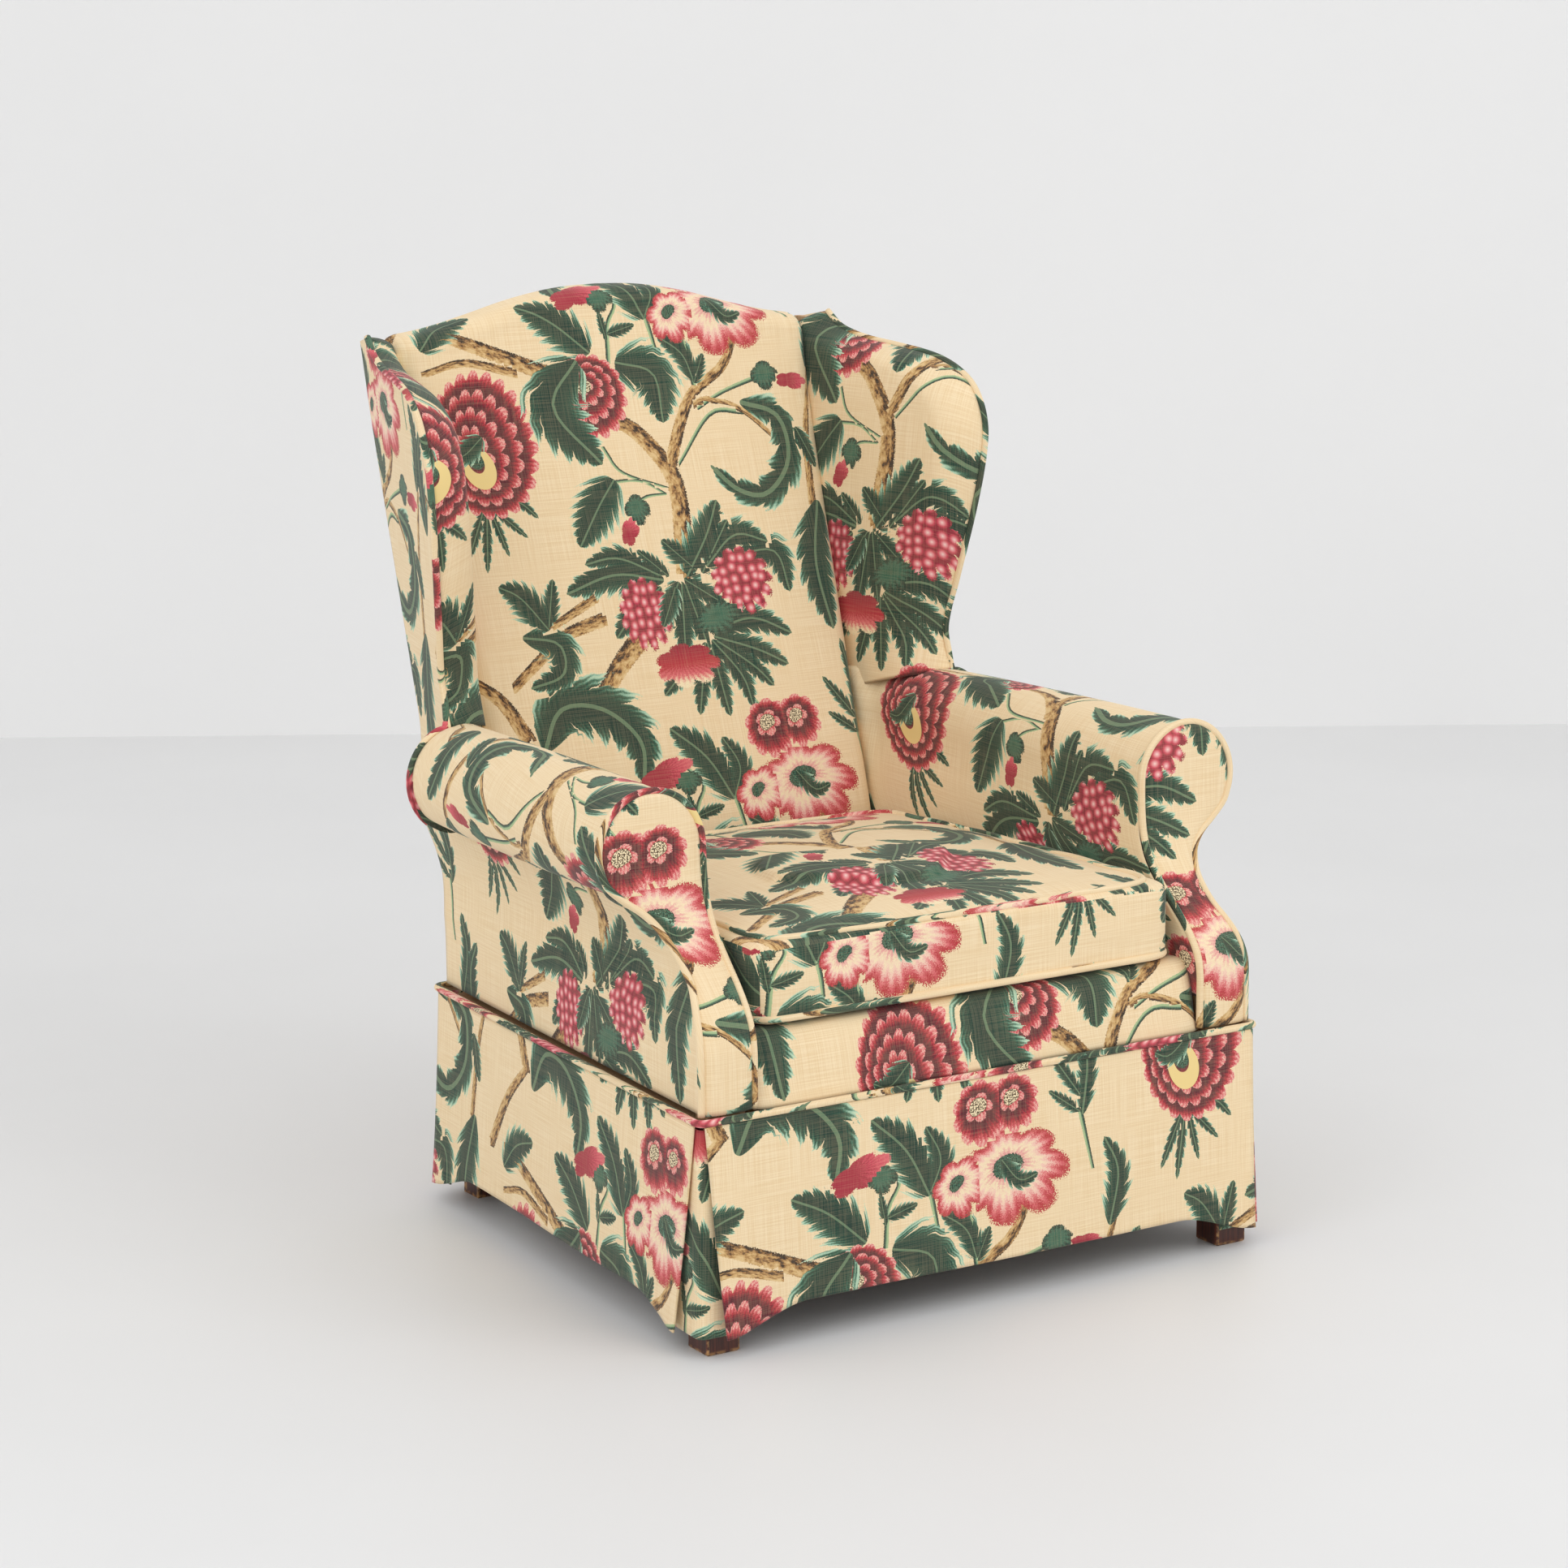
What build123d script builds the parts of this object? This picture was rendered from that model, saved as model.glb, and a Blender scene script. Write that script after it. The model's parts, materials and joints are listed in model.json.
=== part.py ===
from build123d import *
from math import atan2, cos, degrees, radians, sin, tan
import os

os.makedirs("parts", exist_ok=True)

# Upholstered wing armchair with rolled arms, a loose seat cushion and a skirt.
# +X is the sitter's left, -Y is the front, +Z is up. The origin is on the floor,
# under the middle of the chair. Everything is in millimetres. In the names of pieces,
# right and left are as seen by someone who faces the chair: right is +X.

# ---- driving dimensions -------------------------------------------------
front_half = 360            # half the width of the base at the arm fronts
base_front = -416           # front face of the arm facings at the skirt line
side_angle = 3.8            # how far each side turns in towards the back, degrees
cover = 3                   # thickness of a flat cover with its lining
skirt_line = 257            # height of the piping over the skirt
deck_height = 335           # top of the platform under the loose cushion
arm_height = 590            # top of the arm rolls
crest_middle = 1066         # top of the back in the middle
crest_end = 1020            # top of the back at its shoulders
scroll_radius = 62          # radius of the arm roll
hem_height = 23             # bottom of the skirt at the corners
hem_arch = 46               # bottom of the skirt between the corners
leg_size = 41               # square front legs
timber = 26                 # thickness of the beech frame

inner_x = front_half - scroll_radius        # inner face of the arm at the front
scroll_z = arm_height - scroll_radius       # centre of the arm roll
panel_bottom = skirt_line + 5               # lower edge of the covers over the skirt
rail_bottom = 175
rail_top = 250

# Side view of the outside back, as (y, z), from the seat up to the crest
rear_line = [(250, 262), (250, 330), (266, 420), (296, 520), (340, 660), (387, 810), (422, 930), (450, 1070)]
# How far the front of the inside back stands in front of that line, as (z, depth)
back_depth = [(262, 92), (345, 96), (430, 92), (565, 80), (806, 68), (1010, 56), (1070, 50)]

parts = {}


def rear_at(z):
    """Distance back of the outside back at a height."""
    for (y0, z0), (y1, z1) in zip(rear_line, rear_line[1:]):
        if z <= z1:
            return y0 + (y1 - y0) * max(z - z0, 0) / (z1 - z0)
    return rear_line[-1][0]


def depth_at(z):
    """Thickness of the whole back at a height."""
    for (z0, d0), (z1, d1) in zip(back_depth, back_depth[1:]):
        if z <= z1:
            return d0 + (d1 - d0) * max(z - z0, 0) / (z1 - z0)
    return back_depth[-1][1]


def block(x0, x1, y0, y1, z0, z1):
    """A box between two corners."""
    box = Box(x1 - x0, y1 - y0, z1 - z0, align=(Align.MIN, Align.MIN, Align.MIN))
    return Pos(x0, y0, z0) * box


def side_profile(points, x0, x1):
    """A closed outline of (y, z) points, made solid from x0 to x1."""
    edges = Polyline(*[(0, y, z) for y, z in points], close=True)
    return Pos(x0, 0, 0) * extrude(make_face(edges), x1 - x0, dir=(1, 0, 0))


def plan(points, z0, z1):
    """A closed outline of (x, y) points, made solid from z0 to z1."""
    edges = Polyline(*[(x, y, 0) for x, y in points], close=True)
    return Pos(0, 0, z0) * extrude(make_face(edges), z1 - z0, dir=(0, 0, 1))


def cut(shape, *others):
    """The shape less the others, with any slivers under 1000 cubic mm dropped."""
    for other in others:
        shape = shape - other
    solids = [solid for solid in shape.solids() if solid.volume > 1000]
    return solids[0] if len(solids) == 1 else Compound(children=solids)


def save(name, shape):
    """Keep a piece under its node name."""
    shape.label = name
    parts[name] = shape
    export_step(shape, "parts/" + name + ".step")


def save_pair(name, shape):
    """Keep the piece on the +X side and its mirror image on the other side."""
    save(name + "_right", shape)
    save(name + "_left", mirror(shape, about=Plane.YZ))


def turned(shape):
    """Turn a side's piece about the front corner, so that the chair narrows to the back."""
    corner = Pos(front_half, base_front, 0)
    return corner * Rot(0, 0, side_angle) * corner.inverse() * shape


# ---- shapes that several pieces share ----------------------------------
def back_band(near, far, z0, z1, x0, x1):
    """A slab that follows the back: near and far are distances in front of the rear line."""
    heights = [z0] + [z for _, z in rear_line if z0 < z < z1] + [z1]
    front = [(rear_at(z) - far, z) for z in heights]
    rear = [(rear_at(z) - near, z) for z in heights]
    return side_profile(front + rear[::-1], x0, x1)


def back_outline(bottom, low_half, top_half, drop=0):
    """The back seen from the front, with its arched crest, as a deep solid."""
    shoulder = crest_end - drop
    middle = crest_middle - drop
    arch = Spline((-top_half, 0, shoulder - 14), (-top_half * 0.82, 0, shoulder + 3),
                  (-top_half * 0.42, 0, middle - 12), (0, 0, middle),
                  (top_half * 0.42, 0, middle - 12), (top_half * 0.82, 0, shoulder + 3),
                  (top_half, 0, shoulder - 14))
    sides = Polyline((top_half, 0, shoulder - 14), (low_half, 0, bottom),
                     (-low_half, 0, bottom), (-top_half, 0, shoulder - 14))
    return Pos(0, -600, 0) * extrude(make_face(arch + sides), 1200, dir=(0, 1, 0))


def facing_outline(inset, bottom):
    """The arm seen from the front: straight inside, a roll on top and a waist outside."""
    radius = scroll_radius - inset
    lean = radians(-45)
    under = (front_half + radius * cos(lean), scroll_z + radius * sin(lean))
    roll = ThreePointArc((inner_x + inset, 0, scroll_z), (front_half, 0, scroll_z + radius),
                         (under[0], 0, under[1]))
    waist = Spline((under[0], 0, under[1]), (374 - inset, 0, 462), (351 - inset, 0, 428),
                   (346 - inset, 0, 396), (front_half - inset, 0, 350),
                   tangents=[(-1, 0, -1), (0.1, 0, -1)])
    sides = Polyline((front_half - inset, 0, 350), (front_half - inset, 0, bottom),
                     (inner_x + inset, 0, bottom), (inner_x + inset, 0, scroll_z))
    return Pos(0, -600, 0) * extrude(make_face(roll + waist + sides), 1200, dir=(0, 1, 0))


def front_sweep(near, far, bottom, top):
    """A slab that follows the arm front, upright below and swept back under the roll."""
    sweep = [(0, bottom), (0, 340), (14, 365), (44, 395), (78, 425), (98, 455), (106, 490), (108, top)]
    front = [(base_front + back + near, z) for back, z in sweep]
    rear = [(base_front + back + far, z) for back, z in sweep]
    return side_profile(front + rear[::-1], 200, 480)


# ---- beech frame --------------------------------------------------------
leg_front = base_front - 7
leg_outer = front_half + 2
leg = block(leg_outer - leg_size, leg_outer, leg_front, leg_front + leg_size, 0, rail_top)
leg = chamfer(leg.edges().filter_by(Axis.Z), 2)
save_pair("front_leg", chamfer(leg.faces().sort_by(Axis.Z)[0].edges(), 2))

post_near = 7
post_far = post_near + timber
post_inner = 268
post_outer = 298
back_posts = [(216, 0), (208, rail_bottom), (208, 300)]
post_front = back_posts + [(rear_at(z) - post_far, z) for z in (420, 520, 660, 810, 930, 985)]
post_rear = [(252, 0), (244, rail_bottom), (243, 300)]
post_rear += [(rear_at(z) - post_near, z) for z in (420, 520, 660, 810, 930, 985)]
back_post = side_profile(post_front + post_rear[::-1], post_inner, post_outer)
save_pair("back_post", back_post)

front_rail = block(-leg_outer + leg_size, leg_outer - leg_size, -398, -372, rail_bottom, rail_top)
front_rail += block(-inner_x + 4, inner_x - 4, -396, -372, rail_top, 316)
save("front_seat_rail", front_rail)
save("back_seat_rail", block(-post_inner, post_inner, 212, 238, rail_bottom, rail_top))

side_rail = turned(block(325, 351, -420, 300, rail_bottom, rail_top))
behind_rail = block(200, 400, 240, 400, 0, 400)
before_rail = block(200, 400, -500, -382, 0, 400)
side_rail = cut(side_rail, leg, back_post, behind_rail, before_rail)
save_pair("side_seat_rail", side_rail)

block_leg = 55
corner = plan([(0, 0), (block_leg, 0), (0, block_leg)], rail_bottom + 8, rail_top - 12)
front_corner = Pos(321, -372, 0) * Rot(0, 0, 90) * corner
rear_corner = Pos(post_inner, 212, 0) * Rot(0, 0, 180) * corner
front_corner = cut(front_corner, side_rail)
corner_set = [front_corner, rear_corner]
corner_set += [mirror(piece, about=Plane.YZ) for piece in (front_corner, rear_corner)]
# Each block has two countersunk screws that enter it from its long face
screw = Cylinder(2.2, 24) + Pos(0, 0, 10) * Cone(2.2, 4.5, 4)
screw_pairs = []
for x, y, angle in ((298, -349, 135), (250, 194, 225)):
    for height in (200, 226):
        place = Pos(x, y, height) * Rot(0, 0, angle) * Rot(0, -90, 0)
        screw_pairs += [place * screw, mirror(place * screw, about=Plane.YZ)]
save("corner_block_screws", Compound(children=screw_pairs))
rails = [front_rail, parts["back_seat_rail"], side_rail, mirror(side_rail, about=Plane.YZ)]
save("corner_blocks", Compound(children=[cut(piece, *screw_pairs) for piece in corner_set]))

arm_post = facing_outline(9, rail_top) & front_sweep(5, 33, rail_top, arm_height)
arm_post = cut(turned(arm_post))
save_pair("arm_post", arm_post)
wing_lean = 0.26            # how far the wing flares out for each unit forwards
wing_rear_x = 311           # outer face of the wing where it meets the outside back

arm_rail = turned(block(326, 356, -300, 300, 508, 542))
arm_rail = cut(arm_rail, arm_post, back_post, turned(front_sweep(-100, 20, 262, 600)))
arm_rail = cut(arm_rail, block(200, 400, rear_at(500) - 40, 400, 400, 600))
save_pair("arm_rail", arm_rail)
lower_rail = turned(block(334, 352, -400, 300, 290, 312))
lower_rail = cut(lower_rail, arm_post, back_post, block(200, 500, 208, 400, 262, 400))
lower_rail = cut(lower_rail, turned(front_sweep(-100, 20, 262, 600)))
save_pair("lower_arm_rail", lower_rail)

crest = back_outline(930, 320, 300, drop=22)
crest = crest & back_band(post_near, post_far, 930, 1064, -post_inner, post_inner)
save("crest_rail", cut(crest))
save("lower_back_rail", back_band(post_near, post_far, 430, 475, -post_inner, post_inner))

# ---- wings --------------------------------------------------------------
# Outline of the wing seen from the side, as (y, z): up the front edge, then back along the top
wing_front = [(156, 458), (156, 588), (172, 640), (160, 700), (140, 790), (130, 860), (134, 905),
              (158, 945), (205, 970), (262, 981), (330, 990), (372, 1002), (396, 1020)]


def wing_outline(inset):
    """The wing seen from the side, as a deep solid."""
    edge = [(y + inset, z - inset * 0.5) for y, z in wing_front]
    curve = Spline(*[(0, y, z) for y, z in edge])
    last_y, last_z = edge[-1]
    rear = [(rear_at(last_z) - cover, last_z)]
    rear += [(rear_at(z) - cover, z) for z in (930, 810, 660, 520, edge[0][1])]
    sides = Polyline((0, last_y, last_z), *[(0, y, z) for y, z in rear], (0, edge[0][0], edge[0][1]))
    return Pos(200, 0, 0) * extrude(make_face(curve + sides), 280, dir=(1, 0, 0))


def wing_slab(near, far):
    """The flat slab that holds the wing; near and far are distances in from its outer face."""
    rise = (rear_at(930) - rear_at(520)) / (930 - 520)
    outward = Vector(1, wing_lean, -wing_lean * rise).normalized()
    plane = Plane(origin=(wing_rear_x, rear_at(520), 520), x_dir=(0, rise, 1), z_dir=tuple(outward))
    slab = Box(1600, 1600, far - near)
    return plane.location * Pos(0, 0, -(near + far) / 2) * slab


inside_back_solid = back_outline(345, 250, 290) & back_band(4, 200, 345, 1069, -320, 320)
front_of_back = [(rear_at(z) - depth_at(z), z) for z in (300, 345, 430, 565, 806, 1010, 1080)]
room_in_front = side_profile([(-600, 300), (-600, 1080)] + front_of_back[::-1], -400, 400)
inside_back_solid = cut(inside_back_solid, room_in_front)

arm_solid = facing_outline(0, panel_bottom)
arm_shell = turned(arm_solid & block(200, 480, -420, 165, panel_bottom, arm_height + 5))
wing_frame = wing_outline(14) & wing_slab(6, 6 + timber - 4)
wing_hole = wing_outline(56)
wing_frame = cut(wing_frame, wing_hole, back_post, arm_rail)
above = block(200, 500, -300, 600, 905, 1200)
arm_top = block(200, 500, -300, 600, 0, 543)
rear_room = side_profile([(rear_at(z) - post_far - 1, z) for z in (400, 520, 660, 810, 930, 1080)]
                         + [(700, 1080), (700, 400)], 200, 400)
wing_top = cut(wing_frame & above, rear_room & block(200, post_outer + 1, -300, 700, 300, 1100))
save_pair("wing_top_rail", max(wing_top.solids(), key=lambda solid: solid.volume))
wing_post = cut(wing_frame, above, arm_top)
save_pair("wing_post", max(wing_post.solids(), key=lambda solid: solid.volume))

piping = 7
edge_band = cut(wing_outline(-piping), wing_outline(0)) & wing_slab(-3, cover + 1)
above_arm = block(200, 500, -300, 600, 300, arm_height)
edge_band = cut(edge_band, arm_shell, above_arm, block(200, 500, 392, 600, 300, 1100))
save_pair("wing_piping", max(edge_band.solids(), key=lambda solid: solid.volume))

# ---- arms ---------------------------------------------------------------
facing = facing_outline(0, panel_bottom) & front_sweep(0, 4, panel_bottom, arm_height)
save_pair("arm_facing", cut(turned(facing)))
cord = facing_outline(-4, panel_bottom) - facing_outline(0, panel_bottom - 10)
cord = cord & front_sweep(-3, 4, panel_bottom, arm_height + 5)
cord = [solid for solid in turned(cord).solids() if solid.volume > 1000]
save_pair("facing_piping", max(cord, key=lambda solid: solid.volume))

outer_skin = arm_solid - (Pos(-cover, 0, 0) * arm_solid)
outer_skin = outer_skin & block(330, 480, -420, 240, panel_bottom, 458)
outer_skin = cut(outer_skin, front_sweep(-100, 5, panel_bottom, 600))
outer_skin = turned(outer_skin)
before_cover = [(rear_at(z) - cover - 1, z) for z in (200, 330, 420, 520, 700)]
rear_limit = side_profile(before_cover + [(700, 700), (700, 200)], 200, 500)
save_pair("outside_arm", max(cut(outer_skin, rear_limit).solids(), key=lambda solid: solid.volume))

arm_pad = arm_solid & block(inner_x, 480, -420, 300, deck_height - 40, arm_height + 5)
arm_pad = cut(arm_pad, front_sweep(-100, 5, 200, 600))
arm_pad = cut(arm_pad, block(front_half, 484, -420, 300, 200, 300))
arm_pad = turned(arm_pad)
arm_pad = cut(arm_pad, block(200, 500, 166, 400, 200, 700) & block(338, 500, 100, 400, 200, 700))
arm_pad = cut(arm_pad, outer_skin, arm_post, arm_rail, lower_rail, back_post, wing_post)
back_face = [(rear_at(z) - depth_at(z), z) for z in (262, 345, 430, 565, 700)]
arm_pad = cut(arm_pad, side_profile(back_face + [(700, 700), (700, 262)], 200, 500))
arm_block = arm_pad
# The padding is on the roll and the inner face, and the space behind the outside arm is empty
hollow = turned(block(inner_x + 30, 345, -372, 300, 200, 480)) & block(200, 500, -372, 160, 200, 480)
arm_pad = cut(arm_pad, hollow)
save_pair("inside_arm", max(arm_pad.solids(), key=lambda solid: solid.volume))

# ---- wing covers --------------------------------------------------------
behind_posts = [(rear_at(z) - post_far - 7, z) for z in (400, 520, 660, 810, 930, 1080)]
frame_room = side_profile(behind_posts + [(700, 1080), (700, 400)], 200, 400)
outside_wing = cut(wing_outline(0) & wing_slab(0, cover), arm_block, parts["outside_arm_right"])
outside_wing = cut(outside_wing, block(200, 500, -300, 600, 300, 459))
save_pair("outside_wing", max(outside_wing.solids(), key=lambda solid: solid.volume))

inside_wing = wing_outline(2) & wing_slab(cover + 0.5, 52)
inside_wing = cut(inside_wing, inside_back_solid, arm_block, block(200, 500, -300, 600, 300, 560))
inside_wing = cut(inside_wing, wing_frame, back_post, frame_room, arm_rail)
save_pair("inside_wing", max(inside_wing.solids(), key=lambda solid: solid.volume))

# ---- back ---------------------------------------------------------------
outside_back = back_outline(panel_bottom, 314, 305) & back_band(0, cover, panel_bottom, 1010, -330, 330)
save("outside_back", cut(outside_back))

webbing_near = post_far + 0.3
webs = [back_band(webbing_near, webbing_near + 1.7, z, z + 50, -294, 294) for z in (500, 600, 700, 800, 890)]
webs += [back_band(webbing_near + 2, webbing_near + 3.7, 440, 975, x - 25, x + 25) for x in (-160, 0, 160)]
save("back_webbing", Compound(children=webs))
back_hessian = back_band(webbing_near + 4, webbing_near + 5.2, 436, 980, -270, 270)
save("back_hessian", back_hessian)
behind = back_band(0, webbing_near + 5.5, 300, 1002, -280, 280)
pad = cut(inside_back_solid, behind, parts["crest_rail"], parts["outside_back"], *webs)
for neighbour in (back_post, wing_frame, arm_rail):
    pad = cut(pad, neighbour, mirror(neighbour, about=Plane.YZ))
save("inside_back", max(pad.solids(), key=lambda solid: solid.volume))

# ---- sprung seat --------------------------------------------------------
tape_low = rail_bottom - 4
strips = [block(x - 25, x + 25, -394, 234, tape_low, tape_low + 1.5) for x in (-220, -110, 0, 110, 220)]
for y in (-300, -190, -80, 30, 140):
    reach = 342 - (y + 25 - base_front) * tan(radians(side_angle))
    strips.append(block(-reach, reach, y - 25, y + 25, tape_low + 1.8, tape_low + 3.3))
save("seat_webbing", Compound(children=strips))

spring_foot = rail_bottom + 4
spring_height = 318 - spring_foot
wire = 2.2
coil_radius = 36
coil_height = spring_height - 2 * wire - 1
coil = Helix(pitch=coil_height / 5, height=coil_height, radius=coil_radius)
spring = sweep(Plane(coil @ 0, z_dir=coil % 0) * Circle(wire), path=coil, is_frenet=True)
spring = Pos(0, 0, spring_foot + wire + 0.5) * spring
spring_spots = [(x, y) for x in (-165, 0, 165) for y in (-275, -100, 75)]
save("seat_springs", Compound(children=[Pos(x, y, 0) * spring for x, y in spring_spots]))

deck_front = -364
deck_rear = 146


def tapered(front_y, rear_y, gap, z0, z1):
    """A plate between the arms that narrows to the back as they do."""
    wide = inner_x - gap - (front_y - base_front) * tan(radians(side_angle))
    narrow = inner_x - gap - (rear_y - base_front) * tan(radians(side_angle))
    return plan([(-wide, front_y), (wide, front_y), (narrow, rear_y), (-narrow, rear_y)], z0, z1)


save("spring_hessian", tapered(deck_front, deck_rear, 6, 319, 320.5))
save("seat_pad", tapered(deck_front, deck_rear, 5, 321, deck_height))
roll = Pos(0, -384, 325) * Rot(0, 90, 0) * Cylinder(8, 2 * inner_x - 16)
save("front_edge_roll", roll)
save("front_border", block(-inner_x + 3, inner_x - 3, -404, -399, panel_bottom, deck_height))

# ---- skirt --------------------------------------------------------------
flare = 3.6
skirt_top = skirt_line - 5
rear_half = front_half - (250 - base_front) * tan(radians(side_angle))
base_rear = 250


def skirt_panel(half, hang):
    """A flat panel with an arched hem, hung from its top edge and flared outwards at the foot."""
    foot = half - 9
    shoulder_x = foot - 90
    curve = Spline((-foot, 0, hem_height), (-foot + 30, 0, hem_height + 4), (-shoulder_x, 0, hem_arch),
                   (0, 0, hem_arch + 2), (shoulder_x, 0, hem_arch), (foot - 30, 0, hem_height + 4),
                   (foot, 0, hem_height))
    sides = Polyline((foot, 0, hem_height), (half, 0, skirt_top), (-half, 0, skirt_top),
                     (-foot, 0, hem_height))
    sheet = extrude(make_face(curve + sides), hang, dir=(0, 1, 0))
    return Pos(0, 0, skirt_top) * Rot(-flare, 0, 0) * Pos(0, 0, -skirt_top) * sheet


skirt_front_y = base_front - 15
save("skirt_front", Pos(0, skirt_front_y, 0) * skirt_panel(front_half, cover))
save("skirt_back", Rot(0, 0, 180) * Pos(0, -base_rear - 13, 0) * skirt_panel(rear_half, cover))
side_length = (base_rear - base_front) / cos(radians(side_angle))
side_panel = Rot(0, 0, 90) * skirt_panel(side_length / 2, cover)
side_panel = Pos(front_half + 11, (base_front + base_rear) / 2, 0) * side_panel
save_pair("skirt_side", turned(side_panel))


def corner_pleat(x, y, wide, deep):
    """A strip that turns the corner behind two panels, as a kick pleat's insert does."""
    outer = block(x - wide, x, y, y + deep, hem_height + 2, skirt_top - 2)
    inner = block(x - wide, x - 2, y + 2, y + deep, hem_height + 2, skirt_top - 2)
    return outer - inner


front_pleat = corner_pleat(front_half + 5.5, base_front - 11, 50, 50)
rear_pleat = mirror(corner_pleat(rear_half + 5, 0, 45, 45), about=Plane.XZ)
rear_pleat = Pos(0, base_rear + 9, 0) * rear_pleat
pleats = [front_pleat, mirror(front_pleat, about=Plane.YZ), rear_pleat, mirror(rear_pleat, about=Plane.YZ)]
save("skirt_pleat_inserts", Compound(children=pleats))


def ring(gap):
    """The outline of the base, pushed out by a gap."""
    return [(-front_half - gap, base_front - gap), (front_half + gap, base_front - gap),
            (rear_half + gap, base_rear + gap), (-rear_half - gap, base_rear + gap)]


outer_ring = plan(ring(15), skirt_line - 4, skirt_line + 4)
save("skirt_piping", outer_ring - plan(ring(7), skirt_line - 4, skirt_line + 4))

dust_cover = tapered(-408, 206, -18, tape_low - 2.2, tape_low - 0.5)
leg_room = block(leg_outer - leg_size - 1, 500, -500, leg_front + leg_size + 1, 0, 300)
post_room = block(post_inner - 1, 500, 200, 400, 0, 300)
for room in (leg_room, post_room):
    dust_cover = cut(dust_cover, room, mirror(room, about=Plane.YZ))
save("dust_cover", dust_cover)
tack = Cylinder(4, 1.2)
tack_z = tape_low - 2.9
tack_spots = [(x, -392) for x in range(-280, 281, 80)] + [(x, 196) for x in range(-240, 241, 80)]
for y in range(-340, 180, 80):
    along = 337 - (y - base_front) * tan(radians(side_angle))
    tack_spots += [(along, y), (-along, y)]
save("dust_cover_tacks", Compound(children=[Pos(x, y, tack_z) * tack for x, y in tack_spots]))

# ---- loose cushion ------------------------------------------------------
cushion_front = -402
cushion_rear = 140
cushion_low = deck_height + 1
cushion_high = 440
cushion_gap = 8             # room between the cushion and each arm


def cushion_block(inset, z0, z1, soft):
    """The cushion's wedge plan with rounded front corners."""
    body = tapered(cushion_front + inset, cushion_rear - inset, cushion_gap + inset, z0, z1)
    body = fillet(body.edges().filter_by(Axis.Z).group_by(Axis.Y)[0], 26 - inset)
    body = fillet(body.edges().filter_by(Axis.Z).group_by(Axis.Y)[-1], 12 - inset)
    return fillet(body.faces().filter_by(Axis.Z).edges(), soft)


inner_cushion = cushion_block(cover, cushion_low + cover, cushion_high - cover, 7)
save("cushion_cover", cushion_block(0, cushion_low, cushion_high, 9) - inner_cushion)
save("cushion_core", cushion_block(cover + 0.5, cushion_low + cover + 0.5, cushion_high - cover - 0.5, 7))
cords = []
for height in (cushion_low + 8, cushion_high - 14):
    outer = tapered(cushion_front - 3, cushion_rear + 3, cushion_gap - 3, height, height + 6)
    outer = fillet(outer.edges().filter_by(Axis.Z), 20)
    cords.append(outer - cushion_block(0, cushion_low, cushion_high, 9))
save("cushion_piping", Compound(children=cords))

zip_half = 215
zip_z = (cushion_low + cushion_high) / 2
zip_tape = block(-zip_half, zip_half, cushion_rear + 0.2, cushion_rear + 1.4, zip_z - 14, zip_z + 14)
zip_coil = block(-zip_half, zip_half, cushion_rear + 1.4, cushion_rear + 2.6, zip_z - 3, zip_z + 3)
save("cushion_zip", zip_tape + zip_coil)
slider = block(-zip_half + 6, -zip_half + 17, cushion_rear + 3, cushion_rear + 5.4, zip_z - 5, zip_z + 5)
pull = block(-zip_half + 8, -zip_half + 15, cushion_rear + 5.4, cushion_rear + 6.6, zip_z - 24, zip_z + 3)
save("zip_slider", slider + pull)

for name, shape in sorted(parts.items()):
    low = shape.bounding_box().min
    high = shape.bounding_box().max
    corners = [round(value, 1) for value in (low.X, low.Y, low.Z, high.X, high.Y, high.Z)]
    print(name, len(shape.solids()), corners)
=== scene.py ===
# %% [markdown]
# # An upholstered wing armchair
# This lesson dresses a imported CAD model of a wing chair: raked back with an arched crest, wings, rolled
# arms, a loose box cushion, and a flared skirt with corner pleats. The CAD holds the beech frame, the
# springs and a plain solid for each stuffed part. Here each stuffed part becomes real upholstery: a curved
# cover whose cloth coordinates run in millimetres, so that one printed linen can be cut and placed on it.

# %% Load the frame
import json
import math
from functools import partial

import bmesh
import bpy
import numpy as np
from mathutils import Matrix, Vector


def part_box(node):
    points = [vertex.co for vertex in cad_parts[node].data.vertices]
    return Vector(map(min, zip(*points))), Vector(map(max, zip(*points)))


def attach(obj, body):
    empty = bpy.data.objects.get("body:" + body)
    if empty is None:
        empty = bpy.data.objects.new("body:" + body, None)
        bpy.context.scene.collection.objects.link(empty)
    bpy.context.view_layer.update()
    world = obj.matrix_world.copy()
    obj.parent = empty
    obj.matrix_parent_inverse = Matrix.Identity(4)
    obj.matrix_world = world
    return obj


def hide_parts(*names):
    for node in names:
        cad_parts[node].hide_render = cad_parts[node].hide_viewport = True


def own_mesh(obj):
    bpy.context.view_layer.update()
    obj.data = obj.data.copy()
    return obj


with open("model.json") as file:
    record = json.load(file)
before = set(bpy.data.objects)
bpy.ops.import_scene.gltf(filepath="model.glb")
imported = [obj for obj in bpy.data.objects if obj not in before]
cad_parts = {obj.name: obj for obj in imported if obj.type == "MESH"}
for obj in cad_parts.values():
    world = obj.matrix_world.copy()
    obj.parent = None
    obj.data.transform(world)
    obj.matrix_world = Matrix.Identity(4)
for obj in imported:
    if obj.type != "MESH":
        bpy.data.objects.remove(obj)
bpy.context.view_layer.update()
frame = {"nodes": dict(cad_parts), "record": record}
mm = 0.001

# %% [markdown]
# ## Sizes
# Every place comes from the CAD nodes' boxes, and from the few side views that the CAD was drawn with: the
# line of the back, the edge of the wing and the sweep of the arm front. A curve is read through `smooth`,
# which averages a straight-line table over a short stretch, so that a few points give a fair line.

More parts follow.
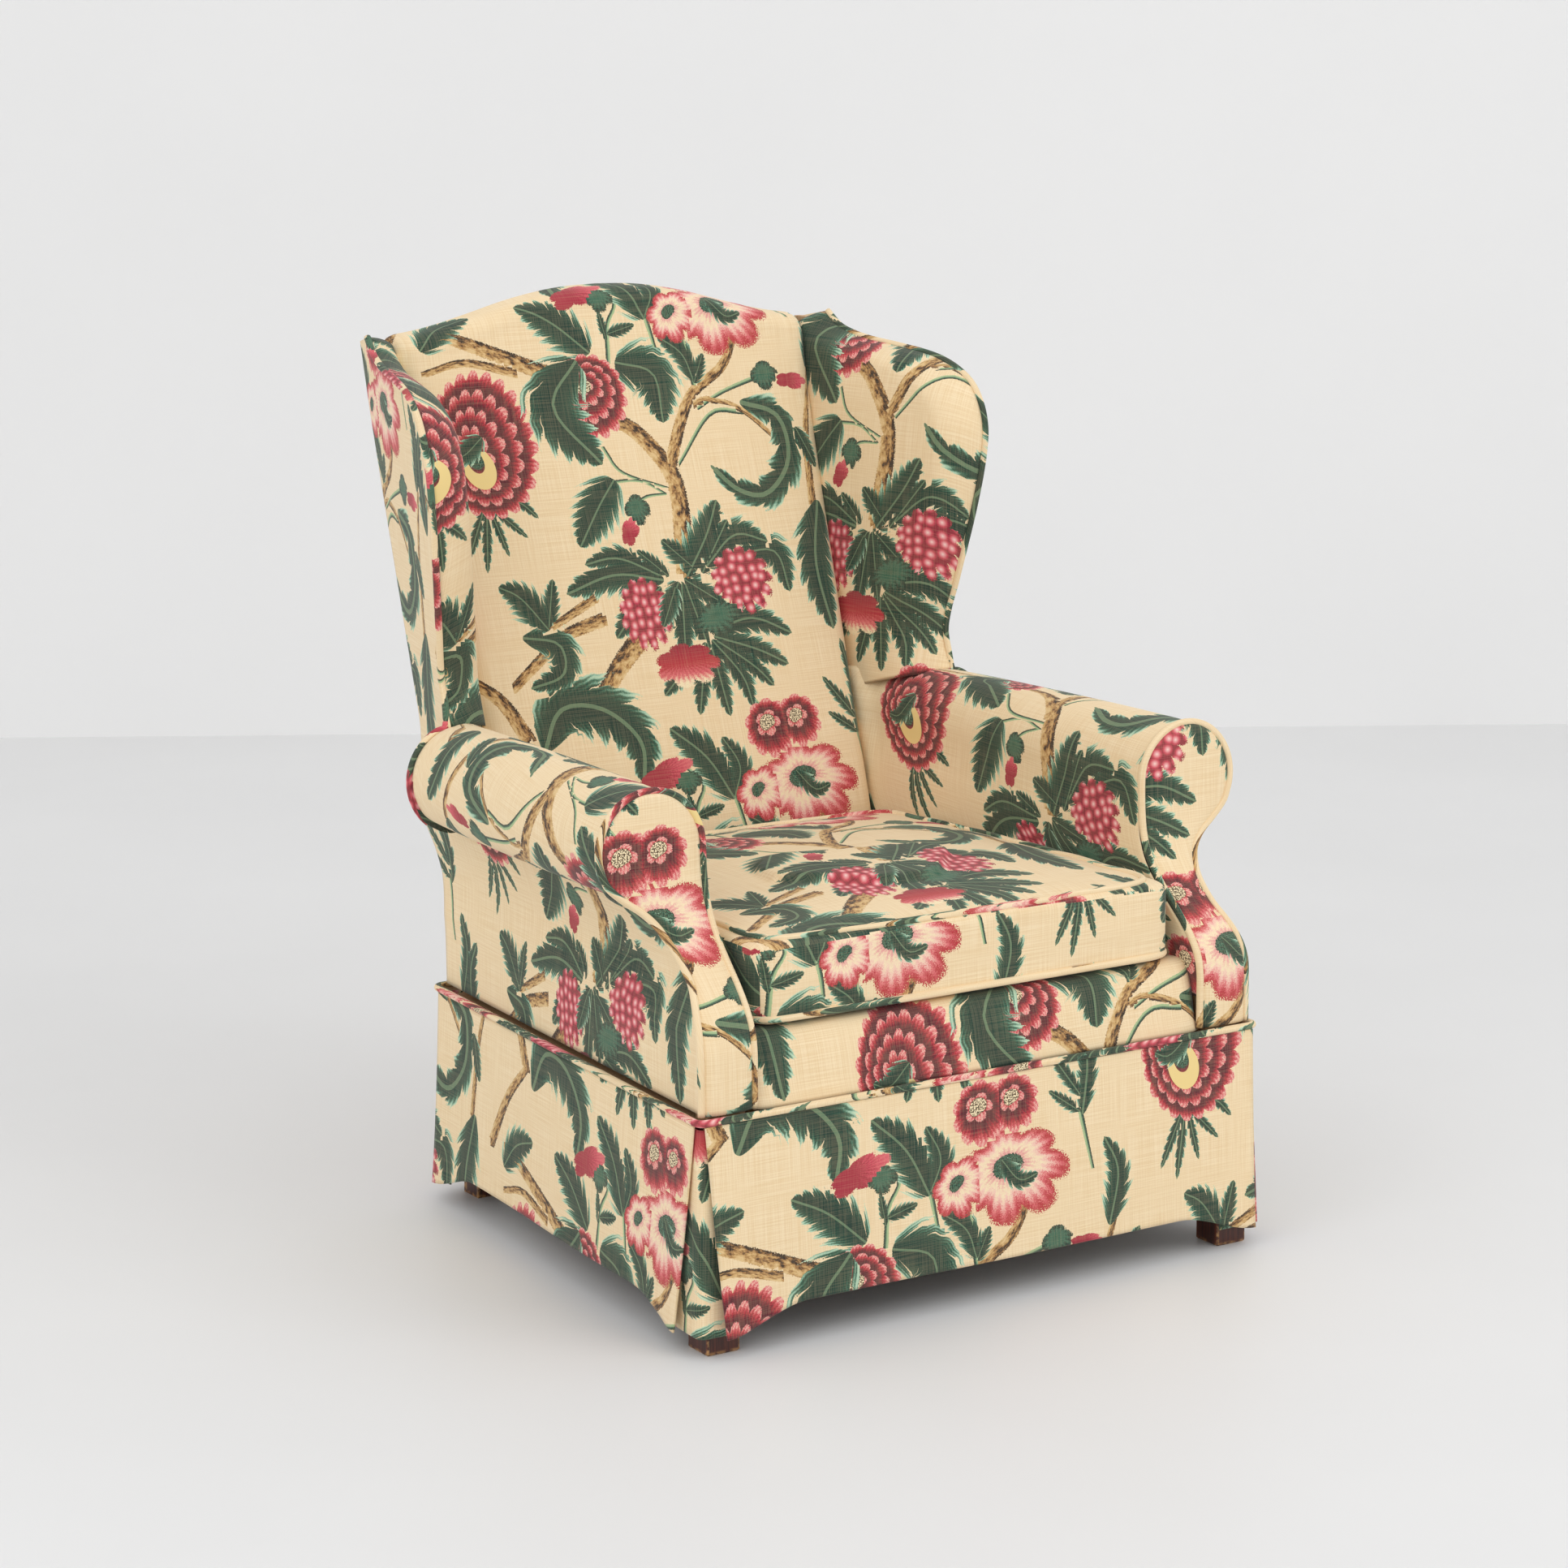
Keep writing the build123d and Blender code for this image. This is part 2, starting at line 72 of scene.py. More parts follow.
# %% Places from the frame
facing_low, facing_high = [Vector(c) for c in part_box("arm_facing_right")]
back_low, back_high = [Vector(c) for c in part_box("inside_back")]
cushion_low, cushion_high = [Vector(c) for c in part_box("cushion_cover")]
deck_low, deck_high = [Vector(c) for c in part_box("seat_pad")]
skirt_low, skirt_high = [Vector(c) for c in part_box("skirt_front")]
border_low, border_high = [Vector(c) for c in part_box("front_border")]
front_half = 0.360
base_front = -0.416
base_rear = 0.250
side_slope = math.tan(math.radians(3.8))
scroll_radius = 0.062
arm_top = facing_high.z
scroll_z = arm_top - scroll_radius
panel_bottom = facing_low.z
skirt_line = 0.257
hem_height = skirt_low.z
crest_middle = back_high.z
crest_end = crest_middle - 0.046
low_half = 0.250
top_half = back_high.x
print("seat", round(cushion_high.z, 3), "arms", round(arm_top, 3), "crest", round(crest_middle, 3))

# %% Fair curves from a few points
rear_line = [(0.262, 0.250), (0.330, 0.250), (0.420, 0.266), (0.520, 0.296), (0.660, 0.340),
             (0.810, 0.387), (0.930, 0.422), (1.070, 0.450)]
back_depth = [(0.262, 0.092), (0.345, 0.096), (0.430, 0.092), (0.565, 0.080), (0.806, 0.068),
              (1.010, 0.056), (1.070, 0.050)]
arm_sweep = [(0.340, 0.000), (0.365, 0.014), (0.395, 0.044), (0.425, 0.078), (0.455, 0.098), (0.490, 0.106),
             (0.590, 0.108)]
wing_edge = [(0.156, 0.588), (0.172, 0.640), (0.160, 0.700), (0.140, 0.790), (0.130, 0.860), (0.134, 0.905),
             (0.158, 0.945), (0.205, 0.970), (0.262, 0.981), (0.330, 0.990), (0.372, 1.002), (0.396, 1.020)]


def smooth(table, value, soft=0.02):
    """A straight-line table read as a fair curve: the mean over a short stretch each side."""
    keys, results = zip(*table)
    spread = [np.interp(np.asarray(value) + soft * k / 3, keys, results) for k in range(-3, 4)]
    return sum(spread) / len(spread)


def ease(value):
    """0 to 1 with a soft start and end."""
    value = np.clip(value, 0.0, 1.0)
    return value * value * (3 - 2 * value)


def fair_path(points, count):
    """A smooth path through a few points, as count points evenly spaced along it."""
    points = np.array(points, float)
    ends = np.vstack([2 * points[0] - points[1], points, 2 * points[-1] - points[-2]])
    dense = []
    for p0, p1, p2, p3 in zip(ends, ends[1:], ends[2:], ends[3:]):
        for t in np.linspace(0, 1, 16, endpoint=False):
            pull = -p0 + 3 * p1 - 3 * p2 + p3
            bend = (2 * p0 - 5 * p1 + 4 * p2 - p3) * t * t
            dense.append(0.5 * (2 * p1 + (p2 - p0) * t + bend + pull * t ** 3))
    dense = np.array(dense + [points[-1]])
    far = np.concatenate([[0], np.cumsum(np.linalg.norm(np.diff(dense, axis=0), axis=1))])
    places = np.linspace(0, far[-1], count)
    return np.stack([np.interp(places, far, dense[:, k]) for k in range(dense.shape[1])], 1)


# %% [markdown]
# ## A cover from a grid
# A cover is a sheet that was woven flat, so it is made as one: `create_grid` gives a flat sheet of quads
# and each row and column is laid on the stuffing. The cloth coordinates are then the lengths measured
# along the rows and columns, which is how a tape would measure the real cover.

# %% Grid covers
everything = {}


def lay(name, places, u_from=0.5, v_from=0.0, cloth_at=None):
    """A grid laid on a table of places [row][column]. Its cloth coordinates are measured, or given."""
    places = np.asarray(places, float)
    rows, columns = places.shape[:2]
    across = np.linalg.norm(np.diff(places, axis=1), axis=2)
    along = np.linalg.norm(np.diff(places, axis=0), axis=2)
    u = np.concatenate([np.zeros((rows, 1)), np.cumsum(across, axis=1)], axis=1)
    v = np.concatenate([np.zeros((1, columns)), np.cumsum(along, axis=0)], axis=0)
    u = u - u[:, [round(u_from * (columns - 1))]]
    v = v - v[[round(v_from * (rows - 1))], :]
    if cloth_at is not None:
        u, v = np.moveaxis(np.asarray(cloth_at, float), 2, 0)
    bm = bmesh.new()
    bmesh.ops.create_grid(bm, x_segments=columns - 1, y_segments=rows - 1, size=0.5)
    cloth = bm.loops.layers.uv.new("cloth")
    where = {}
    for vert in bm.verts:
        i = round((vert.co.x + 0.5) * (columns - 1))
        j = round((vert.co.y + 0.5) * (rows - 1))
        where[vert] = (j, i)
    for face in bm.faces:
        for loop in face.loops:
            loop[cloth].uv = (u[where[loop.vert]], v[where[loop.vert]])
    for vert, (j, i) in where.items():
        vert.co = places[j, i]
    return keep(name, bm)


def keep(name, bm):
    """The bmesh as an object of that name, shaded smooth."""
    mesh = bpy.data.meshes.new(name)
    bm.to_mesh(mesh)
    bm.free()
    mesh.shade_smooth()
    piece = bpy.data.objects.new(name, mesh)
    bpy.context.collection.objects.link(piece)
    everything[name] = piece
    return piece


def stuff(piece, push, inward=0.012):
    """Closes a cover at the back: its edge is turned in along push, and a lining fills the opening."""
    bm = bmesh.new()
    bm.from_mesh(piece.data)
    push = Vector(push)
    cloth = bm.loops.layers.uv["cloth"]
    covered = set(bm.faces)
    rim = [edge for edge in bm.edges if edge.is_boundary]
    turned = bmesh.ops.extrude_edge_only(bm, edges=rim)["geom"]
    verts = [item for item in turned if isinstance(item, bmesh.types.BMVert)]
    middle = sum((vert.co for vert in verts), Vector()) / len(verts)
    for vert in verts:
        aside = middle - vert.co
        aside -= push.normalized() * aside.dot(push.normalized())
        vert.co += push + aside.normalized() * min(inward, aside.length * 0.5)
    edges = [item for item in turned if isinstance(item, bmesh.types.BMEdge) and item.is_boundary]
    bmesh.ops.triangle_fill(bm, edges=edges, use_beauty=True)
    bmesh.ops.recalc_face_normals(bm, faces=bm.faces)
    for face in set(bm.faces) - covered:
        for loop in face.loops:
            x, y, z = loop.vert.co
            loop[cloth].uv = (y, z) if abs(face.normal.x) > abs(face.normal.y) else (x, z)
    bm.to_mesh(piece.data)
    bm.free()
    piece.data.shade_smooth()


def apply_all(piece):
    """The piece with its modifiers applied."""
    graph = bpy.context.evaluated_depsgraph_get()
    mesh = bpy.data.meshes.new_from_object(piece.evaluated_get(graph), preserve_all_data_layers=True,
                                           depsgraph=graph)
    piece.modifiers.clear()
    piece.data = mesh
    return piece


def lining(piece, thickness, out=False):
    """Gives a sheet its real thickness, towards the inside of the chair."""
    solid = piece.modifiers.new("lining", "SOLIDIFY")
    solid.thickness = thickness
    solid.offset = 1.0 if out else -1.0
    return apply_all(piece)


def other_side(piece, name):
    """The same cover for the other side of the chair, cut from the print the same way up."""
    bm = bmesh.new()
    bm.from_mesh(piece.data)
    bmesh.ops.scale(bm, vec=(-1, 1, 1), verts=bm.verts)
    bmesh.ops.reverse_faces(bm, faces=bm.faces)
    cloth = bm.loops.layers.uv["cloth"]
    for face in bm.faces:
        for loop in face.loops:
            loop[cloth].uv.x *= -1
    return keep(name, bm)


def tube(name, path, radius, closed=False, sides=10):
    """A piping cord along a path, with cloth coordinates along and round it."""
    path = [Vector(p) for p in path]
    count = len(path)
    steps = []
    for i in range(count):
        before = path[i - 1] if closed or i else path[0]
        after = path[(i + 1) % count] if closed or i < count - 1 else path[-1]
        steps.append((after - before).normalized())
    side = steps[0].orthogonal().normalized()
    rings = []
    for point, step in zip(path, steps):
        side = (side - step * side.dot(step)).normalized()
        up = step.cross(side)
        rings.append([point + radius * (math.cos(a) * side + math.sin(a) * up)
                      for a in np.linspace(0, 2 * math.pi, sides + 1)])
    if closed:
        rings.append(rings[0])
    piece = lay(name, np.array(rings), u_from=0.0)
    bm = bmesh.new()
    bm.from_mesh(piece.data)
    bmesh.ops.remove_doubles(bm, verts=bm.verts, dist=radius * 0.05)
    ends = [edge for edge in bm.edges if edge.is_boundary]
    if ends:
        bmesh.ops.holes_fill(bm, edges=ends, sides=0)
    bmesh.ops.recalc_face_normals(bm, faces=bm.faces)
    bm.to_mesh(piece.data)
    bm.free()
    piece.data.shade_smooth()
    return piece


# %% [markdown]
# ## The inside back
# On the real chair this is the thickest pad: stuffed over webbing, fullest at the small of the back,
# rounded where it turns towards the wings and rolled over the arched crest to the outside back. The grid's
# columns run round from one side to the other and its rows climb the back and go over the top.

# %% Inside back
side_round = 0.024
crest_round = 0.026


def crest_at(x):
    """Height of the arched crest across the back."""
    share = np.abs(x) / top_half
    arch = [(0.0, 0.0), (0.2, 0.002), (0.42, 0.013), (0.62, 0.029), (0.82, 0.043), (1.0, 0.050)]
    return crest_middle - smooth(arch, share, 0.08)


def back_front(x, z):
    """How far back the front of the inside back is, at a place across and up it."""
    half = np.interp(z, [0.345, 1.01], [low_half, top_half])
    full = 0.017 * (1 - np.clip(np.abs(x) / half, 0, 1) ** 2.2)
    lumbar = 0.75 + 0.45 * np.exp(-((z - 0.62) / 0.16) ** 2)
    return smooth(rear_line, z) - smooth(back_depth, z) + 0.006 - full * lumbar


def inside_back_places():
    """Rows up and over the back, columns from side to side and round the edges."""
    quarter = np.linspace(0, math.pi / 2, 7)
    sides = [(1 - side_round * (1 - math.sin(t)) / top_half, side_round * (1 - math.cos(t))) for t in quarter]
    walls = [(1.0, side_round + d) for d in (0.006, 0.012, 0.018, 0.024, 0.030)]
    half_row = [(s, 0.0) for s in np.linspace(0, 1 - side_round / top_half, 52)[:-1]] + sides + walls
    row = [(-s, d) for s, d in half_row[:0:-1]] + half_row
    bottom = 0.338
    places = []
    climb = np.linspace(0, 1, 118)
    over = np.linspace(0, math.pi / 2, 9)[1:]
    for share in climb:
        line = []
        for s, depth in row:
            top = crest_at(s * top_half) - crest_round - 0.010 * (depth > 0) * ease(depth / side_round)
            z = bottom + (top - bottom) * share
            half = np.interp(z, [0.345, 1.01], [low_half, top_half])
            line.append((s * half, back_front(s * half, z) + depth, z))
        places.append(line)
    last = places[-1]
    for angle in over:
        places.append([(x, y + crest_round * (1 - math.cos(angle)), z + crest_round * math.sin(angle))
                       for x, y, z in last])
    rear_y = smooth(rear_line, crest_end) - 0.004
    for step in (0.3, 0.6, 0.85):
        top = places[len(climb) + len(over) - 1]
        places.append([(x, y + (rear_y - 0.008 - y) * step, z + 0.002 * math.sin(step * math.pi))
                       for x, y, z in top])
    for angle in np.linspace(0, math.pi / 2, 5)[1:]:
        top = places[len(climb) + len(over) - 1]
        places.append([(x, max(rear_y - 0.008 * (1 - math.sin(angle)), y), z - 0.008 * (1 - math.cos(angle)))
                       for x, y, z in top])
    top = places[-1]
    places.append([(x, y - 0.003, z - 0.035) for x, y, z in top])
    return [[(x, min(y, float(smooth(rear_line, z)) - 0.008), z) for x, y, z in line] for line in places]


inside_back = lay("inside_back_cover", inside_back_places())
stuff(inside_back, (0, 0.002, 0))
print("inside back", len(inside_back.data.polygons), "faces")

# %% [markdown]
# ## The wings
# A wing is a flat frame, flared outwards, with a soft roll of stuffing round its free edge. The outside
# cover is flat and tight; the inside cover comes over the roll to meet it at the piping. The inside cover
# here starts at the piping, climbs the roll as a quarter of an ellipse, and runs flat to the inside back.

# %% Inside wings
wing_lean = 0.26
wing_rear_x = 0.311
wing_path = fair_path(wing_edge, 110)


def wing_x(y, z):
    """The flat outer face of the wing."""
    rise = (np.interp(z, [0.52, 0.93], [0.296, 0.422])
            + 0.3073 * (np.minimum(z - 0.52, 0) + np.maximum(z - 0.93, 0)))
    return wing_rear_x + wing_lean * (rise - y)


def inside_wing_places():
    """Rows along the wing's edge, columns from the back out to the piping, with the cloth's own places."""
    places = []
    cloth_at = []
    count = len(wing_path)
    for k, (y, z) in enumerate(wing_path):
        share = k / (count - 1)
        inner_z = 0.560 + 0.435 * share ** 1.05
        inner_y = float(back_front(top_half, inner_z)) + 0.030
        edge = np.array([y, z])
        inner = np.array([inner_y, inner_z])
        length = np.linalg.norm(inner - edge)
        thick = 0.050 - 0.018 * ease((share - 0.5) / 0.5)
        roll = 0.030
        near = roll * (1 - np.cos(np.linspace(0, math.pi / 2, 12)))
        far = np.linspace(roll, length, 34)[1:] if length > roll else np.full(33, length)
        line = []
        for away in np.concatenate([near, far]):
            away = min(away, length)
            p = edge + (inner - edge) * away / length
            lift = math.sqrt(max(1 - (1 - min(away / roll, 1)) ** 2, 0))
            crown = 0.006 * math.sin(min(away / length, 1) * math.pi)
            line.append((wing_x(*p) - 0.002 - thick * lift * 0.98 - crown, p[0], p[1]))
        line.reverse()
        reach = np.concatenate([[0], np.cumsum(np.linalg.norm(np.diff(np.array(line), axis=0), axis=1))])
        way = (edge - inner) / max(length, 1e-6)
        cloth_at.append([(-(inner[0] + way[0] * r), inner[1] + way[1] * r) for r in reach])
        places.append(line)
    return places, cloth_at


places, cloth_at = inside_wing_places()
inside_wing = lay("inside_wing_right_cover", places, cloth_at=cloth_at)
stuff(inside_wing, Vector((1, wing_lean, -0.3073 * wing_lean)) * 0.0005)
inside_wing_left = other_side(inside_wing, "inside_wing_left_cover")

# %% [markdown]
# ## The arms
# The inside arm cover starts down beside the cushion, goes up the inner face, over the roll and is tacked
# under it. A profile of that path is swept from the arm front, which leans back under the roll, to the wing.

# %% Arm profile and rolled arms
arm_profile = [(front_half - scroll_radius + 0.000, 0.300), (front_half - scroll_radius - 0.003, 0.340),
               (front_half - scroll_radius - 0.006, 0.400), (front_half - scroll_radius - 0.006, 0.460),
               (front_half - scroll_radius - 0.001, 0.510)]
arm_profile += [(front_half + scroll_radius * math.cos(t), scroll_z + scroll_radius * math.sin(t))
                for t in np.radians([168, 145, 120, 95, 70, 45, 20, -5, -25, -42])]
arm_profile += [(front_half + 0.020, scroll_z - 0.055), (front_half - 0.008, scroll_z - 0.052)]
roll_end = 0.158


def arm_front(z):
    """Where the front of the arm is, at a height."""
    return base_front + smooth(arm_sweep, z, 0.018)


def narrowing(y, z=0.0):
    """How far a side has come in at a place behind the front of the arm. The roll comes in less."""
    return (y - base_front) * side_slope * (1 - 0.45 * float(ease((z - 0.36) / 0.17)))


def arm_places():
    """Rows up round the profile and over the roll, columns from the back to the facing."""
    profile = fair_path(arm_profile, 84)
    steps = np.linspace(1, 0, 96)
    places = []
    for x, z in profile:
        line = []
        for share in steps:
            over = ease((x - 0.335) / 0.03)
            inner_end = float(back_front(0.25, max(z, 0.345))) + 0.034
            end = inner_end + (roll_end - inner_end) * over
            start = float(arm_front(z)) + 0.002
            y = start + (end - start) * share
            full = 0.0030 * math.sin(share * math.pi) ** 0.5
            around = Vector((x - front_half, z - scroll_z))
            out = around.normalized() * full if z > scroll_z - 0.05 else Vector((-full, 0))
            across = x + out.x - narrowing(y, z)
            # At the rear the inner face turns in and is tucked down the side of the inside back
            beside = np.interp(z, [0.345, 1.01], [low_half, top_half]) + 0.0015
            tuck = ease((y - (inner_end - 0.046)) / 0.030) * (1 - over) * ease((z - 0.33) / 0.03)
            line.append((across + (min(beside, across) - across) * tuck, y, z + out.y))
        places.append(line)
    return places


inside_arm = lay("inside_arm_right_cover", arm_places(), u_from=1.0)
stuff(inside_arm, (0.004, 0, -0.006), inward=0.006)
inside_arm_left = other_side(inside_arm, "inside_arm_left_cover")

# %% [markdown]
# ## Arm facings
# The facing covers the front of the arm: straight inside, round at the roll and drawn in at the waist. Its
# rows are cut level and its face is slightly crowned, because there is wadding under it.

# %% Facings
waist_table = [(0.262, 0.360), (0.340, 0.360), (0.366, 0.356), (0.396, 0.3465),
               (0.424, 0.350), (0.450, 0.362),
               (0.466, 0.378), (0.484, 0.404)]


def facing_sides(z):
    """The inner and outer edge of the facing at a height."""
    reach = math.sqrt(max(scroll_radius ** 2 - (z - scroll_z) ** 2, 0))
    inner = front_half - (reach if z > scroll_z else scroll_radius)
    outer = front_half + reach if z > 0.484 else float(smooth(waist_table, z, 0.006))
    return inner, outer


def facing_places():
    """Rows up the facing, columns across it."""
    up = np.concatenate([np.linspace(panel_bottom, scroll_z, 48)[:-1],
                         scroll_z + scroll_radius * np.sin(np.linspace(0, math.pi / 2, 22))])
    places = []
    cloth_at = []
    rise = 0.0
    before = (float(arm_front(up[0])), up[0])
    for z in up:
        inner, outer = facing_sides(min(z, arm_top - 0.00015))
        line = []
        rise += math.dist(before, (float(arm_front(z)), z))
        before = (float(arm_front(z)), z)
        for share in np.linspace(0, 1, 22):
            x = inner + (outer - inner) * share
            crown = 0.006 * (1 - (2 * share - 1) ** 4) * min(1, (outer - inner) / 0.04)
            y = float(arm_front(z)) - 0.001 - crown
            line.append((x - narrowing(y, z), y, z))
        cloth_at.append([(place[0], rise) for place in line])
        places.append(line)
    return places, cloth_at


places, cloth_at = facing_places()
facing = lay("arm_facing_right_cover", places, cloth_at=cloth_at)
lining(facing, 0.004)
facing_left = other_side(facing, "arm_facing_left_cover")

# %% [markdown]
# ## The outside covers
# Behind the roll, one cover runs from the skirt up to the top of the wing. It is flat on the wing, comes in
# under the roll and stands out again to meet the end of the roll. It is a tight sheet, not a pad.

# %% Outside side panels
def outside_x(y, z):
    """The outer face of the side of the chair."""
    arm = front_half - narrowing(y, z)
    waist = np.interp(z, [0.262, 0.345, 0.396, 0.43, 0.458, 0.47], [0, 0, 0.0125, 0.008, -0.003, -0.006])
    fade = ease((0.12 - y) / 0.35) * 0.6 + 0.4
    lower = arm - waist * fade
    upper = wing_x(y, max(z, 0.50))
    near_wing = np.maximum(ease((y - 0.05) / 0.12), ease((z - 0.555) / 0.045))
    return lower + (upper - lower) * ease((z - 0.42) / 0.16) * near_wing


def outside_low_places():
    """The cover under the arm, from the facing to the rear, up to the underside of the roll."""
    places = []
    for z in np.linspace(panel_bottom, 0.468, 36):
        start = float(arm_front(z)) + 0.003
        end = float(smooth(rear_line, z)) - 0.001
        places.append([(outside_x(y, z), y, z) for y in np.linspace(start, end, 100)])
    return places


def outside_high_places():
    """The cover of the wing, from the end of the roll and the wing's edge back to the rear."""
    edge = fair_path([(roll_end + 0.002, 0.468), (roll_end - 0.002, 0.530)] + wing_edge, 120)
    places = []
    total = len(edge)
    for k, (y, z) in enumerate(edge):
        rear_z = 0.468 + (1.012 - 0.468) * (k / (total - 1)) ** 1.02
        rear_y = float(smooth(rear_line, rear_z)) - 0.001
        line = []
        for share in np.linspace(0, 1, 44):
            py = y + (rear_y - y) * share
            pz = z + (rear_z - z) * share
            line.append((outside_x(py, pz), py, pz))
        places.append(line)
    return places


def seen_flat(places):
    """Cloth places of a nearly flat side cover: its distance back and its height."""
    return [[(y, z) for x, y, z in line] for line in places]


places = outside_low_places()
outside_low = lay("outside_arm_right_cover", places, cloth_at=seen_flat(places))
lining(outside_low, 0.003)
places = outside_high_places()
outside_high = lay("outside_wing_right_cover", places, cloth_at=seen_flat(places))
lining(outside_high, 0.003)
outside_low_left = other_side(outside_low, "outside_arm_left_cover")
outside_high_left = other_side(outside_high, "outside_wing_left_cover")
for piece in (outside_low, outside_high):
    print(piece.name, len(piece.data.polygons))


# %% Outside back
def outside_back_places():
    """Rows up the outside back, columns across it."""
    places = []
    for share in np.linspace(0, 1, 90):
        line = []
        for x_share in np.linspace(-1, 1, 80):
            top = max(float(crest_at(x_share * top_half)) - 0.020, 1.008)
            z = panel_bottom + (top - panel_bottom) * share
            half = outside_x(float(smooth(rear_line, z)), z) - 0.0005
            y = float(smooth(rear_line, z)) + 0.002 * math.cos(x_share * math.pi / 2)
            line.append((-x_share * half, y, z))
        places.append(line)
    return places


outside_back = lay("outside_back_cover", outside_back_places())
lining(outside_back, 0.003)

# %% [markdown]
# ## Front border
# A narrow padded strip closes the front under the cushion. It is set back between the facings, and its top
# edge is rounded over the roll on the front rail.

# %% Front border
def border_places():
    """Rows up the border and back over its top edge, columns across."""
    section = [(-0.0165, 0.2590), (-0.0145, 0.2650), (-0.0110, 0.275), (-0.0080, 0.288), (-0.0050, 0.303),
               (-0.0005, 0.318), (0.0040, 0.328), (0.0100, 0.335), (0.0200, 0.338), (0.0340, 0.3375)]
    section = fair_path(section, 26)
    half = front_half - scroll_radius - 0.002
    places = []
    for back, z in section:
        line = []
        for share in np.linspace(-1, 1, 110):
            tuck = 0.006 * max(0.0, (abs(share) - 0.93) / 0.07) ** 2
            line.append((share * half, border_low.y + 0.001 + back + tuck, z))
        places.append(line)
    return places


border = lay("front_border_cover", border_places())
lining(border, 0.003)


# %% [markdown]
# ## Skirt
# Each skirt panel is lined cloth that hangs from the piping, flares a little and has an arched hem. It
# stands away from the legs, with a shallow roll in it as stiffened cloth has. At each corner the panels stop
# short and a pleat insert, folded round the corner behind them, shows in the gap.

# %% Skirt panels and pleats
flare = math.tan(math.radians(3.6))
skirt_top = skirt_line - 0.004


def hem_at(x, foot):
    """Height of the arched hem, measured from the middle of a panel."""
    from_end = foot - np.abs(x)
    return hem_height + 0.024 * ease(from_end / 0.105)


def skirt_places(half, cut_start, cut_end, wave):
    """Rows down from the piping, columns along the panel. The sheet faces -Y and starts at y = 0."""
    places = []
    for down in np.linspace(0, 1, 44):
        line = []
        for share in np.linspace(-1, 1, 120):
            foot = half - (cut_start if share < 0 else cut_end)
            x = share * (half + (foot - half) * down)
            bottom = float(hem_at(x, foot))
            z = skirt_top + (bottom - skirt_top) * down
            ripple = wave * down ** 1.5 * math.sin(x * 14.0 + half * 20) * 0.5
            curl = 0.004 * down ** 3 * ease((abs(share) - 0.86) / 0.14)
            y = -(skirt_top - z) * flare - ripple - curl
            line.append((x, y, z))
        places.append(line)
    return places


def hang(name, places, turn, place):
    """A skirt panel, turned to its side of the chair and lined."""
    places = np.array(places)
    spin = np.array(Matrix.Rotation(math.radians(turn), 3, "Z"))
    places = places @ spin.T + np.array(place)
    piece = lay(name, places[::-1], v_from=1.0)
    return lining(piece, 0.0022)


rear_half = front_half - (base_rear - base_front) * side_slope
side_half = (base_rear - base_front) / 2 / math.cos(math.atan(side_slope))
middle_y = (base_front + base_rear) / 2
middle_x = front_half - narrowing(middle_y)
skirt_front = hang("skirt_front_cloth", skirt_places(front_half + 0.004, 0.013, 0.006, 0.0025), 0,
                   (0, base_front - 0.0125, 0))
skirt_right = hang("skirt_right_cloth", skirt_places(side_half, 0.018, 0.012, 0.003), 90 + 3.8,
                   (middle_x + 0.0115, middle_y, 0))
skirt_left = hang("skirt_left_cloth", skirt_places(side_half, 0.012, 0.022, 0.003), -90 - 3.8,
                  (-middle_x - 0.0115, middle_y, 0))
skirt_back = hang("skirt_back_cloth", skirt_places(rear_half, 0.012, 0.012, 0.0025), 180,
                  (0, base_rear + 0.0125, 0))


def pleat(name, corner, first, second, reach, soft):
    """A strip folded round a corner behind two panels. first and second point away from the corner."""
    corner, first, second = Vector(corner), Vector(first).normalized(), Vector(second).normalized()
    places = []
    for down in np.linspace(0, 1, 36):
        z = skirt_top - 0.004 + (hem_height + 0.004 - skirt_top) * down
        out = (skirt_top - z) * flare * 0.55
        point = corner - (first + second) * out
        line = [point + first * s for s in np.linspace(reach, soft, 8)[:-1]]
        for t in np.linspace(0, 1, 9):
            line.append(point + first * soft * (1 - t) ** 2 + second * soft * t ** 2)
        line += [point + second * s for s in np.linspace(soft, reach, 8)[1:]]
        places.append([(p.x, p.y, z) for p in line])
    piece = lay(name, places[::-1], v_from=1.0)
    return lining(piece, 0.0018)


inset = 0.0085
front_corner = Vector((front_half + inset, base_front - inset, 0))
rear_corner = Vector((rear_half + inset, base_rear + inset, 0))
side_way = Vector((-side_slope, 1, 0))
pleats = []
for side, mark in ((1, "right"), (-1, "left")):
    flipx = Vector((side, 1, 1))
    start = front_corner * flipx
    pair = [(-side, 0, 0), side_way * flipx]
    if side < 0:
        pair.reverse()
    pleats.append(pleat("pleat_front_" + mark + "_cloth", start, pair[0], pair[1], 0.060, 0.012))
    start = rear_corner * flipx
    pair = [-(side_way * flipx), (-side, 0, 0)]
    if side < 0:
        pair.reverse()
    pleats.append(pleat("pleat_back_" + mark + "_cloth", start, pair[0], pair[1], 0.050, 0.012))
print("skirt", skirt_front.dimensions[:])

# %% [markdown]
# ## Loose cushion
# The box cushion is blown up by a cloth simulation: a closed box with rounded corners is remeshed into even
# quads, given a little pressure and stepped for twenty frames. How far any point may move is capped, so
# that the boxing stays upright while the top and bottom crown.

# %% Cushion by cloth simulation
cushion_front = cushion_low.y
cushion_rear = cushion_high.y
cushion_half = cushion_high.x


def cushion_side(y):
    """Half the width of the cushion at a place from front to rear."""
    return cushion_half - (y - cushion_front) * side_slope


